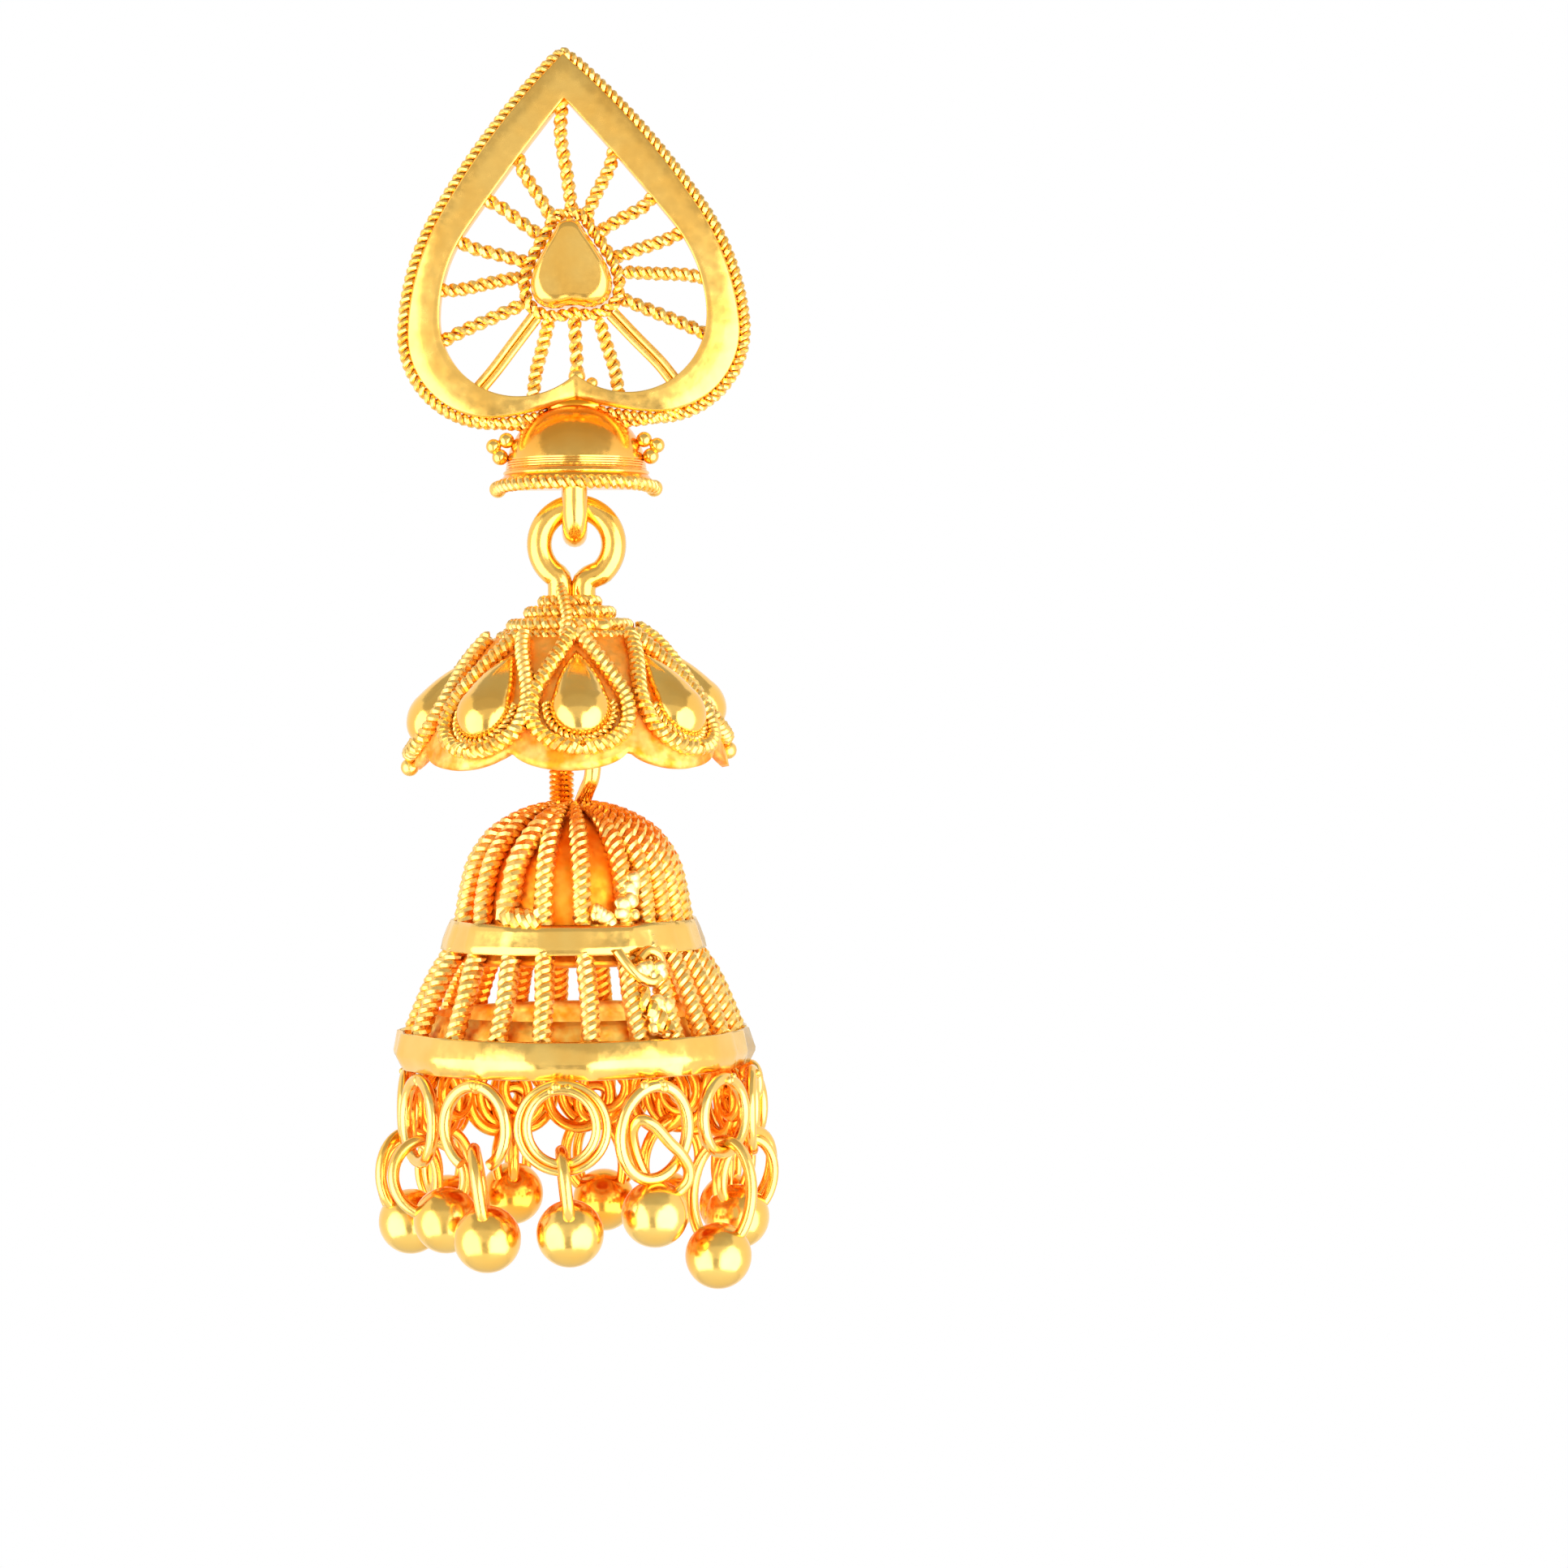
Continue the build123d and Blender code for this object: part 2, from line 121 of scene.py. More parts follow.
def gold(name, tone, shade, polish, grain, grain_size, dents=0.0, painted_shade=None, shade_upwards=0.0,
         patch=1.9):
    """A gold finish. The plating runs from `tone` to `shade` in soft patches, about `patch`
    millimetres across. `polish` is its roughness, `grain` the depth of its fine scratches and
    `grain_size` their width in millimetres, and `dents` the depth of its soft unevenness. Where a
    shade colour is given, the side that is turned to the hanging line, tipped upwards by the given
    amount, is coloured in it: painted shade for the sides that face into the earring."""
    dent_width = 0.9
    shaded_below, unshaded_above = -0.45, 0.25
    smoothest, roughest = polish * 0.75, polish * 1.35
    material = bpy.data.materials.new(name)
    material.use_nodes = True
    nodes, links = material.node_tree.nodes, material.node_tree.links
    shader = nodes["Principled BSDF"]
    shader.inputs["Metallic"].default_value = 1.0
    place = nodes.new("ShaderNodeTexCoord")
    millimetres = nodes.new("ShaderNodeMapping")
    millimetres.inputs["Scale"].default_value = (1 / mm,) * 3
    links.new(place.outputs["Object"], millimetres.inputs["Vector"])

    def cloud(size, detail):
        texture = nodes.new("ShaderNodeTexNoise")
        texture.inputs["Scale"].default_value = 1 / size
        texture.inputs["Detail"].default_value = detail
        links.new(millimetres.outputs["Vector"], texture.inputs["Vector"])
        return texture.outputs["Fac"]

    def between(value, start, end, low=0.0, high=1.0):
        """A value's way from `start` to `end`, laid over the way from `low` to `high`."""
        scale = nodes.new("ShaderNodeMapRange")
        links.new(value, scale.inputs["Value"])
        for socket, number in (("From Min", start), ("From Max", end), ("To Min", low),
                               ("To Max", high)):
            scale.inputs[socket].default_value = number
        return scale.outputs["Result"]

    def relief(height, depth):
        bump = nodes.new("ShaderNodeBump")
        bump.inputs["Strength"].default_value = 1.0
        bump.inputs["Distance"].default_value = depth
        links.new(height, bump.inputs["Height"])
        return bump

    plating = nodes.new("ShaderNodeValToRGB")
    worn, bright = plating.color_ramp.elements
    worn.position, bright.position = 0.35, 0.65
    worn.color, bright.color = (*shade, 1), (*tone, 1)
    links.new(cloud(patch, 2), plating.inputs["Fac"])
    colour = plating.outputs["Color"]
    # Painted shade: the side turned to the hanging line, and more so the side turned up, is mixed
    # over to a deeper shade colour.
    if painted_shade:
        flow = place.outputs["Object"]
        for operation, amount in (("SUBTRACT", hang), ("MULTIPLY", (1, 1, 0)), ("NORMALIZE", None),
                                  ("ADD", (0, 0, -shade_upwards)), ("NORMALIZE", None)):
            step = nodes.new("ShaderNodeVectorMath")
            step.operation = operation
            links.new(flow, step.inputs[0])
            if amount:
                step.inputs[1].default_value = amount
            flow = step.outputs["Vector"]
        facing = nodes.new("ShaderNodeVectorMath")
        facing.operation = "DOT_PRODUCT"
        links.new(flow, facing.inputs[0])
        links.new(place.outputs["Normal"], facing.inputs[1])
        both = nodes.new("ShaderNodeMix")
        both.data_type = "RGBA"
        factor, shaded_in, unshaded_in = (both.inputs[k] for k in (0, 6, 7))
        links.new(between(facing.outputs["Value"], shaded_below, unshaded_above), factor)
        shaded_in.default_value = (*painted_shade, 1)
        links.new(colour, unshaded_in)
        colour = both.outputs[2]
    links.new(colour, shader.inputs["Base Color"])

    fine = cloud(grain_size, 2)
    links.new(between(fine, 0.3, 0.7, smoothest, roughest), shader.inputs["Roughness"])
    scratches = relief(fine, grain)
    if dents:
        uneven = relief(cloud(dent_width, 1), dents)
        links.new(uneven.outputs["Normal"], scratches.inputs["Normal"])
    links.new(scratches.outputs["Normal"], shader.inputs["Normal"])
    return material


def face_outwards(mesh):
    """Turns the faces of every closed shell of a mesh outwards."""
    bmesh.ops.recalc_face_normals(mesh, faces=mesh.faces)
    left = set(mesh.faces)
    while left:
        shell = [left.pop()]
        for face in shell:
            for edge in face.edges:
                for beside in edge.link_faces:
                    if beside in left:
                        left.remove(beside)
                        shell.append(beside)
        volume = sum(face.verts[0].co.dot(a.co.cross(b.co)) for face in shell
                     for a, b in zip(face.verts[1:], face.verts[2:]))
        if volume < 0:
            bmesh.ops.reverse_faces(mesh, faces=shell)


def piece(name, mesh, finish, body, crease=38, wall=0.0, inner_finish=None):
    """Makes a mesh a piece that rides on a body of the frame and stands for the frame's node of
    the same name, if there is one. Edges sharper than `crease` degrees stay crisp. An open sheet
    is turned to face away from the hanging line, and its `wall` goes on the inner side."""
    if wall:
        bmesh.ops.recalc_face_normals(mesh, faces=mesh.faces)
        mesh.faces.ensure_lookup_table()
        face = mesh.faces[0]
        if face.normal.dot((face.calc_center_median() - hang) * Vector((1, 1, 0))) < 0:
            bmesh.ops.reverse_faces(mesh, faces=mesh.faces)
    else:
        face_outwards(mesh)
    data = bpy.data.meshes.new(name)
    mesh.to_mesh(data)
    mesh.free()
    data.shade_smooth()
    data.set_sharp_from_angle(angle=radians(crease))
    data.materials.append(finish)
    made = bpy.data.objects.new(name, data)
    bpy.context.scene.collection.objects.link(made)
    if wall:
        solid = made.modifiers.new("wall", "SOLIDIFY")
        solid.thickness, solid.offset = wall, -1
        if inner_finish:
            data.materials.append(inner_finish)
            solid.material_offset = 1
    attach(made, body)
    if name in frame["nodes"]:
        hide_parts(name)


GOLD_TONE = (1.0, 0.62, 0.15)
GOLD_SHADE = (1.0, 0.56, 0.11)
brushed_gold = gold("brushed_gold", GOLD_TONE, GOLD_SHADE, polish=0.21, grain=0.004 * mm,
                    grain_size=0.45, dents=0.014 * mm)
# The leaf was soldered a little out of true: it leans to the left and stands left of the cup.
LEAF_LEAN = Matrix.Rotation(radians(-1.8), 3, "Y")
LEAF_ASIDE = Vector((-0.24, 0, 0)) * mm
LEAF_MIDDLE = Vector((0, 0, 4.5)) * mm


def lean_leaf(mesh):
    """Leans a part of the leaf over with the rest of it."""
    bmesh.ops.rotate(mesh, verts=mesh.verts, cent=LEAF_MIDDLE, matrix=LEAF_LEAN)
    bmesh.ops.translate(mesh, verts=mesh.verts, vec=LEAF_ASIDE)


def bridge(mesh, rings):
    """Joins each ring of edges to the next one."""
    for ring, following in zip(rings, rings[1:]):
        bmesh.ops.bridge_loops(mesh, edges=ring + following)


low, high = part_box("leaf_frame")
outer, inner = leaf_outline(BAND_OUTER), leaf_outline(BAND_INNER)
strip = bmesh.new()
rings = []
for across, forward in BAND_SECTION:
    depth = Vector((0, high.y + (low.y - high.y) * forward, 0))
    rings.append(draw_line(strip, [a.lerp(b, across) + depth for a, b in zip(outer, inner)], True))
bridge(strip, rings + rings[:1])
lean_leaf(strip)
piece("leaf_frame", strip, brushed_gold, "stud")

# ------------------------------------------------------------------ rope edge of the leaf
# A rope of two gold wires twisted together is soldered round the outside of the leaf. Its two
# ends stop close together in the cusp. Ropes like it make the spokes, the cup's rim, the crown,
# the petals' outlines and, with three strands, the ribs of the bell.

# The half outline that the rope lies against, how far from the middle its ends stop, and how far
# outside the outline and in front of the ear its middle line runs.
ROPE_OUTER = [(0, 10.2), (3.36, 6.58), (5.91, 3.02), (7.6, -2.2), (3.5, -6.2), (0, -5.5)]
EDGE_STOP = 0.12 * mm
EDGE_OUT = 0.35 * mm
EDGE_FORWARD = FRONT * 0.52 * mm
EDGE_ROPE = 0.58 * mm
EDGE_TURN = 0.74 * mm
# A second, short length runs straight from under each lobe to the cup.
STAY = [(4.9, -6.22), (3.4, -6.62), (1.9, -6.72)]
STAY_ROPE = 0.522 * mm
# How finely every rope is drawn: points to a turn, and sides round a strand.
TURN_STEPS = 9
STRAND_SIDES = 7


def spaced(route, step, closed=False):
    """The same route with its points an equal distance apart, as near to `step` as fits."""
    points = route + route[:1] if closed else route
    runs = [(b - a).length for a, b in zip(points, points[1:])]
    count = max(2, round(sum(runs) / step))
    spacing = sum(runs) / count
    made, passed, run = [], 0.0, 0
    for k in range(count + (0 if closed else 1)):
        wanted = k * spacing
        while run < len(runs) - 1 and passed + runs[run] < wanted:
            passed += runs[run]
            run += 1
        share = min(1.0, (wanted - passed) / runs[run]) if runs[run] else 0.0
        made.append(points[run].lerp(points[run + 1], share))
    return made


def add_to(mesh, part):
    """Adds a finished part to a mesh."""
    data = bpy.data.meshes.new("part")
    part.to_mesh(data)
    part.free()
    mesh.from_mesh(data)
    bpy.data.meshes.remove(data)


def lay_wire(mesh, centres, outward, radii, sides, closed=False):
    """Round wire: a straight length of it is cut into steps and bent so that its middle runs
    through the centres. One side of it faces `outward` at each of them, and each has a radius."""
    count = len(centres)
    places = []
    for i, centre in enumerate(centres):
        before = centres[i - 1] if i or closed else centre
        after = centres[(i + 1) % count] if closed or i < count - 1 else centre
        along = (after - before).normalized()
        side = along.cross(outward[i]).normalized()
        turned = Matrix((side.cross(along), side, along)).transposed()
        places.append(Matrix.LocRotScale(centre, turned, (radii[i],) * 3))
    steps = count if closed else count - 1
    wire = bmesh.new()
    bmesh.ops.create_cone(wire, cap_ends=not closed, segments=sides, radius1=1.0, radius2=1.0,
                          depth=1.0)
    lengthwise = [e for e in wire.edges if e.verts[0].co.z != e.verts[1].co.z]
    bmesh.ops.subdivide_edges(wire, edges=lengthwise, cuts=steps - 1)
    for vert in wire.verts:
        i = round((vert.co.z + 0.5) * steps)
        vert.co = places[i % count] @ Vector((vert.co.x, vert.co.y, 0))
    if closed:
        bmesh.ops.remove_doubles(wire, verts=wire.verts, dist=min(radii) * 0.02)
    add_to(mesh, wire)


def lay_rope(mesh, route, facing, thick, turn, closed=False, hand=1, taper=None, strands=2):
    """A rope of two or more strands that turn round each other along a route. `facing` gives the
    outward direction at a point, and `taper` the share of the thickness at a share of the way."""
    # Shares of the rope's thickness: how far a strand is from its middle, the strand's radius.
    swing_share, radius_share = (0.26, 0.245) if strands == 2 else (0.285, 0.22)
    route = spaced(route, turn / TURN_STEPS, closed)
    count = len(route)
    turns = round(count / TURN_STEPS) if closed else (count - 1) / TURN_STEPS
    for strand in range(strands):
        centres, outward, radii = [], [], []
        for i, point in enumerate(route):
            before = route[i - 1] if i or closed else point
            after = route[(i + 1) % count] if closed or i < count - 1 else point
            along = (after - before).normalized()
            side = along.cross(facing(point)).normalized()
            share = i / (count if closed else count - 1)
            angle = hand * tau * (turns * share + strand / strands + 0.25)
            swing = side.cross(along) * cos(angle) + side * sin(angle)
            size = thick * (taper(share) if taper else 1.0)
            centres.append(point + swing * size * swing_share)
            outward.append(swing)
            radii.append(size * radius_share)
        lay_wire(mesh, centres, outward, radii, STRAND_SIDES, closed)


def toward_front(point):
    return FRONT


def grown_outline(outline, grow):
    """An outline pushed outwards by a distance."""
    count = len(outline)
    pushed = []
    for i, point in enumerate(outline):
        along = (outline[(i + 1) % count] - outline[i - 1]).normalized()
        pushed.append(point + FRONT.cross(along) * grow)
    return pushed


def curved(points, closed=False, fine=10):
    """A smooth line through the given points."""
    count = len(points)
    line = []
    for i in range(count if closed else count - 1):
        near = [points[(i + k) % count] if closed else points[min(max(i + k, 0), count - 1)]
                for k in (-1, 0, 1, 2)]
        line += interpolate_bezier(near[1], near[1] + (near[2] - near[0]) / 6,
                                   near[2] - (near[3] - near[1]) / 6, near[2], fine)[:-1]
    return line if closed else line + [points[-1]]


rope_gold = gold("rope_gold", (1.0, 0.65, 0.18), (1.0, 0.58, 0.12), polish=0.28,
                 grain=0.004 * mm, grain_size=0.2)

rope_line = [p + EDGE_FORWARD for p in grown_outline(leaf_outline(ROPE_OUTER), EDGE_OUT)]
right_half = [p for p in rope_line[:4 * ARC_STEPS] if p.x > EDGE_STOP or p.z > 0]
edge_rope = bmesh.new()
lay_rope(edge_rope, mirrored(right_half[1:]) + right_half, toward_front, EDGE_ROPE, EDGE_TURN)
for side in (-1, 1):
    stay = curved([p + EDGE_FORWARD for p in upright((side * x, z) for x, z in STAY)])
    lay_rope(edge_rope, stay, toward_front, STAY_ROPE, EDGE_TURN)
lean_leaf(edge_rope)
piece("leaf_rope_edge", edge_rope, rope_gold, "stud")

# ------------------------------------------------------------------ filigree spokes and collar
# Fourteen short lengths of twisted wire and two pairs of plain ones run from the leaf's frame
# to a rope collar round the centre drop. They are laid in by hand, each with a bend of its own,
# and soldered at both ends.

SPOKE_ROPE = 0.68 * mm
SPOKE_FORWARD = FRONT * 0.62 * mm
# How a spoke bends on its way from the frame: share of its length, share of its bow.
SPOKE_BENDS = [(0.3, 1.0), (0.65, 0.4)]
# The collar's rope, and how far outside the drop's edge and in front of the ear it runs.
COLLAR_ROPE = 0.62 * mm
COLLAR_TURN = 1.08 * mm
COLLAR_OUT = 0.33 * mm
COLLAR_FORWARD = FRONT * 0.713 * mm
# The edge of the centre drop, from its blunt top down the right side: x, z.
DROP_EDGE = [(0, 2.76), (0.44, 2.62), (0.80, 2.05), (1.32, 1.22), (1.72, 0.45), (1.88, -0.35),
             (1.62, -1.05), (0.90, -1.36), (0, -1.24)]
SPOKES = [
    # frame x, frame z, collar x, collar z, bow: how far the middle stands to one side, length
    # of one turn of its twist (0: two plain wires side by side)
    (-0.10, 8.3, 0.15, 3.0, 0.22, 1.0),
    (2.25, 6.25, 0.78, 2.9, -0.20, 1.0),
    (4.15, 3.95, 1.35, 2.15, -0.22, 1.05),
    (5.40, 2.10, 2.10, 0.95, -0.10, 1.0),
    (6.45, -0.25, 2.45, 0.25, 0.12, 0.85),
    (6.45, -2.95, 2.35, -1.00, 0.05, 1.1),
    (4.75, -5.15, 1.80, -1.65, 0.10, 0),
    (1.95, -5.35, 1.20, -1.95, 0.12, 0.9),
    (0.05, -4.8, 0.05, -1.65, 0.03, 1.1),
    (-2.0, -5.35, -1.15, -1.90, -0.10, 0.85),
    (-4.75, -5.15, -1.75, -1.65, 0.06, 0),
    (-6.45, -2.80, -2.30, -1.05, -0.05, 1.15),
    (-6.45, -0.25, -2.45, 0.20, 0.16, 0.9),
    (-5.40, 2.10, -2.15, 0.90, 0.14, 1.1),
    (-4.15, 3.95, -1.40, 2.10, -0.16, 1.2),
    (-2.35, 6.15, -0.75, 2.75, 0.18, 1.1),
]
# Drops of solder where the foot of the middle spoke meets the cusp: x, z, radius.
CUSP_DROPS = [(0.06, -4.50, 0.40), (0.74, -4.84, 0.28)]


def lay_round(mesh, route, outward, thick, sides=16, closed=False):
    """Plain round wire along a route, with one side of it facing `outward` all the way."""
    lay_wire(mesh, route, [outward] * len(route), [thick / 2] * len(route), sides, closed)


def add_bead(mesh, place, radius, squash=(1, 1, 1), fine=3):
    """A round bead, or one that is squashed along the axes."""
    bmesh.ops.create_icosphere(mesh, subdivisions=fine, radius=radius,
                               matrix=Matrix.Translation(place) @ Matrix.Diagonal((*squash, 1)))


right_side = upright(DROP_EDGE)
drop_outline = curved(right_side + mirrored(right_side[1:-1]), closed=True, fine=8)
web = bmesh.new()
for frame_x, frame_z, collar_x, collar_z, bow, turn in SPOKES:
    start, end = [p + SPOKE_FORWARD for p in upright([(frame_x, frame_z), (collar_x, collar_z)])]
    side = (end - start).normalized().cross(FRONT) * bow * mm
    bends = [start] + [start.lerp(end, k) + side * bowed for k, bowed in SPOKE_BENDS] + [end]
    if turn:
        lay_rope(web, curved(bends), toward_front, SPOKE_ROPE, turn * mm)
    else:
        for beside in (-1, 1):
            shift = side.normalized() * beside * SPOKE_ROPE / 4
            lay_round(web, curved([p + shift for p in bends]), FRONT, SPOKE_ROPE / 2, 12)
collar_route = [p + COLLAR_FORWARD for p in grown_outline(drop_outline, COLLAR_OUT)]
lay_rope(web, curved(collar_route[::3], closed=True), toward_front, COLLAR_ROPE, COLLAR_TURN,
         closed=True)
for x, z, radius in CUSP_DROPS:
    add_bead(web, Vector((x, 0, z)) * mm + SPOKE_FORWARD, radius * mm)
lean_leaf(web)
piece("filigree_spokes", web, rope_gold, "stud")

# ------------------------------------------------------------------ centre drop
# The middle of the leaf is a small drop, stamped from sheet so that its face swells up from a
# straight wall and flattens in the middle, and polished.

DROP_WALL = 1.2 * mm
DROP_SWELL = 0.75 * mm
# The edge of the flat is drawn in by this share of the way to the drop's middle.
DROP_ROUND = 0.27
DROP_MIDDLE = Vector((0, 0, 0.9)) * mm
SWELL_STEPS = 10

polished_gold = gold("polished_gold", GOLD_TONE, GOLD_SHADE, polish=0.16, grain=0.003 * mm,
                     grain_size=0.25, dents=0.02 * mm)
low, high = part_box("centre_drop")
drop = bmesh.new()
rings = [draw_line(drop, [p + Vector((0, high.y, 0)) for p in drop_outline], True)]
for k in range(SWELL_STEPS + 1):
    angle = radians(90) * k / SWELL_STEPS
    depth = Vector((0, high.y - DROP_WALL - DROP_SWELL * sin(angle), 0))
    drawn_in = DROP_ROUND * (1 - cos(angle))
    rings.append(draw_line(drop, [p.lerp(DROP_MIDDLE, drawn_in) + depth
                                  for p in drop_outline], True))
bridge(drop, rings)
bmesh.ops.contextual_create(drop, geom=rings[0])
bmesh.ops.contextual_create(drop, geom=rings[-1])
lean_leaf(drop)
piece("centre_drop", drop, polished_gold, "stud", crease=50)

# ------------------------------------------------------------------ ear post
# A plain post of round wire stands on the back of the centre drop. Its end is rounded off so
# that it goes through the ear easily, with a shallow groove that the nut's spring drops into.

UP = Vector((0, 0, 1))
POST_PROFILE = [
    # distance from the free end, share of the radius
    (0.00, 0.00), (0.00, 0.45), (0.06, 0.74), (0.16, 0.92), (0.30, 1.00), (1.30, 1.00),
    (1.42, 0.90), (1.62, 0.86), (1.82, 0.90), (1.94, 1.00), (10.0, 1.00), (10.0, 0.00),
]


def turned_piece(mesh, profile, steps, axis=UP, centre=Vector((0, 0, 0)), angle=tau):
    """Turns a profile, given as points, about an axis, all the way round or by an angle."""
    edges = draw_line(mesh, profile)
    start = [vert for edge in edges for vert in edge.verts]
    bmesh.ops.spin(mesh, geom=list(dict.fromkeys(start)) + edges, cent=centre, axis=axis,
                   angle=angle, steps=steps, use_merge=angle == tau)
    bmesh.ops.remove_doubles(mesh, verts=mesh.verts, dist=0.0005 * mm)


low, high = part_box("ear_post")
post_r = (high.x - low.x) / 2
post = bmesh.new()
post_line = [Vector((0, high.y - along * mm, share * post_r)) for along, share in POST_PROFILE]
turned_piece(post, post_line, 32, axis=FRONT)
piece("ear_post", post, polished_gold, "stud")

# ------------------------------------------------------------------ cup under the leaf
# A half-round cup is cast with a flat back and soldered under the cusp. Its dome is polished
# bright, and the foot of it keeps the fine lines of the turning tool above a narrow ledge.

RIGHT = Vector((1, 0, 0))
CUP_CENTRE_Z = -9.0 * mm
# The turned lines: how deep they are, and how far up the dome they go, in degrees.
CUP_LINE = 0.035 * mm
CUP_LINES_TOP = 12
# The foot of the cup, below the dome: radius beyond the dome's, height.
CUP_FOOT = [
    (0.00, -8.82), (0.02, -8.88), (0.09, -8.91), (0.11, -8.97), (0.09, -9.03), (0.05, -9.06),
    (0.12, -9.14), (0.22, -9.26), (0.30, -9.40), (0.30, -9.70), (0.22, -9.75),
]
# A lump of solder lies between the cusp and the top of the dome.
CUP_SOLDER = Vector((-0.05, -0.45, -5.82)) * mm
CUP_SOLDER_SHAPE = (1.25, 0.5, 0.42)


def close_holes(mesh):
    """Closes each ring of open edges of a mesh with a face. The face is laid from its first corner
    by place, so that it is cut into the same triangles each run."""
    filled = bmesh.ops.holes_fill(mesh, edges=[e for e in mesh.edges if e.is_boundary], sides=0)
    for face in filled["faces"]:
        corners = list(face.verts)
        first = corners.index(min(corners, key=lambda vert: tuple(vert.co)))
        ring = corners[first:] + corners[:first]
        if tuple(ring[-1].co) < tuple(ring[1].co):
            ring[1:] = reversed(ring[1:])
        mesh.faces.remove(face)
        mesh.faces.new(ring)


low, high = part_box("base_cup")
cup_profile = []
for a in [*range(90, CUP_LINES_TOP, -3), *range(CUP_LINES_TOP, 0, -1)]:
    radius = high.x - (CUP_LINE if a < CUP_LINES_TOP and a % 2 else 0)
    cup_profile.append(Vector((cos(radians(a)), 0, sin(radians(a)))) * radius
                       + UP * CUP_CENTRE_Z)
cup_profile += [p + RIGHT * high.x for p in upright(CUP_FOOT)] + [UP * low.z]
cup = bmesh.new()
turned_piece(cup, cup_profile, 64, angle=-pi)
close_holes(cup)
add_bead(cup, CUP_SOLDER, mm, CUP_SOLDER_SHAPE, fine=4)
# Painted shade: the upper part of the dome, under the leaf, takes a deep orange in place of the
# plating.
cup_gold = gold("cup_gold", GOLD_TONE, GOLD_SHADE, polish=0.17, grain=0.003 * mm,
                grain_size=0.25, dents=0.02 * mm, painted_shade=(1.0, 0.36, 0.02), shade_upwards=2.2)
piece("base_cup", cup, cup_gold, "stud", crease=30)

# ------------------------------------------------------------------ rope rim of the cup
# The foot of the cup is edged with twisted wire. It flares a little and droops at its two
# ends, which are closed with small polished balls.

RIM_ROPE = 0.68 * mm
RIM_TURN = 0.78 * mm
RIM_R = 3.66 * mm
RIM_Z = -9.54 * mm
RIM_DROOP = 0.2 * mm
RIM_TIP_R = 0.4 * mm
# How far round from the front the rim goes, in degrees, and the step between its points.
RIM_END = 84
RIM_STEP = 4


def bearing(angle):
    """The outward direction at an angle in degrees from the front, positive to the right."""
    return Vector((sin(radians(angle)), -cos(radians(angle)), 0))


def away_from_post(point):
    return Vector((point.x, point.y, 0)).normalized()


rim_route = [bearing(a) * RIM_R + UP * (RIM_Z - RIM_DROOP * abs(a / 90) ** 3)
             for a in range(-RIM_END, RIM_END + 1, RIM_STEP)]
rim = bmesh.new()
lay_rope(rim, rim_route, away_from_post, RIM_ROPE, RIM_TURN)
add_bead(rim, rim_route[0], RIM_TIP_R)
add_bead(rim, rim_route[-1], RIM_TIP_R)
piece("cup_rim", rim, rope_gold, "stud")

# ------------------------------------------------------------------ granules
# Little beads, made by melting snips of wire on charcoal, fill the corners between the leaf
# and the cup, three on each side.

GRANULES = [
    # x, y, z, radius
    (3.20, -0.62, -7.45, 0.37), (3.80, -0.62, -7.72, 0.36), (3.50, -0.62, -8.22, 0.38),
]
for side, side_name in ((-1, "left"), (1, "right")):
    grains = bmesh.new()
    for x, y, z, radius in GRANULES:
        add_bead(grains, Vector((side * x, y, z)) * mm, radius * mm)
    piece(f"granules_{side_name}", grains, polished_gold, "stud")

# ------------------------------------------------------------------ loop under the cup
# A loop of thick round wire is let into the floor of the cup. The umbrella swings on it.

LINK_WIRE = 1.15 * mm
LOOP_R = 1.3 * mm
# A link is drawn with a point at each such length of its wire.
LINK_STEP = 0.16 * mm
# How far the loop is turned out of the plane that the post stands in.
STUD_LOOP_TURN = radians(-4)


def link_loop(name, body, across):
    """A loop of link wire under another piece: two legs and a half ring, wide in the level
    direction `across`."""
    low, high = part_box(name)
    centre = hang + UP * (low.z + LINK_WIRE / 2 + LOOP_R)
    ring = [centre + (across * cos(radians(a)) + UP * sin(radians(a))) * LOOP_R
            for a in range(180, 361, 6)]
    left_leg, right_leg = [hang + across * side * LOOP_R + UP * high.z for side in (-1, 1)]
    loop = bmesh.new()
    lay_round(loop, spaced([left_leg] + ring + [right_leg], LINK_STEP), across.cross(UP),
              LINK_WIRE)
    piece(name, loop, polished_gold, body)


link_loop("stud_loop", "stud", Vector((sin(STUD_LOOP_TURN), cos(STUD_LOOP_TURN), 0)))

# ------------------------------------------------------------------ eye of the umbrella
# The eye is a ring of the same wire, bent round a mandrel. Its two ends come together in a
# short neck that goes down into the crown, a little left of the ring's middle.

EYE_R = 1.72 * mm
# The ring stands a little to the right of the hanging line. It is left open at its foot, by this
# many degrees on the right and on the left.
RING_RIGHT = 0.08 * mm
RING_OPEN = (40, 27)
# The neck's half width, how far it stands to the left, how far below the ring's middle it
# begins, and how deep it goes into the crown.
NECK = 0.56 * mm
NECK_LEFT = 0.14 * mm
NECK_DROP = 1.7544 * mm
NECK_DEPTH = 0.55 * mm

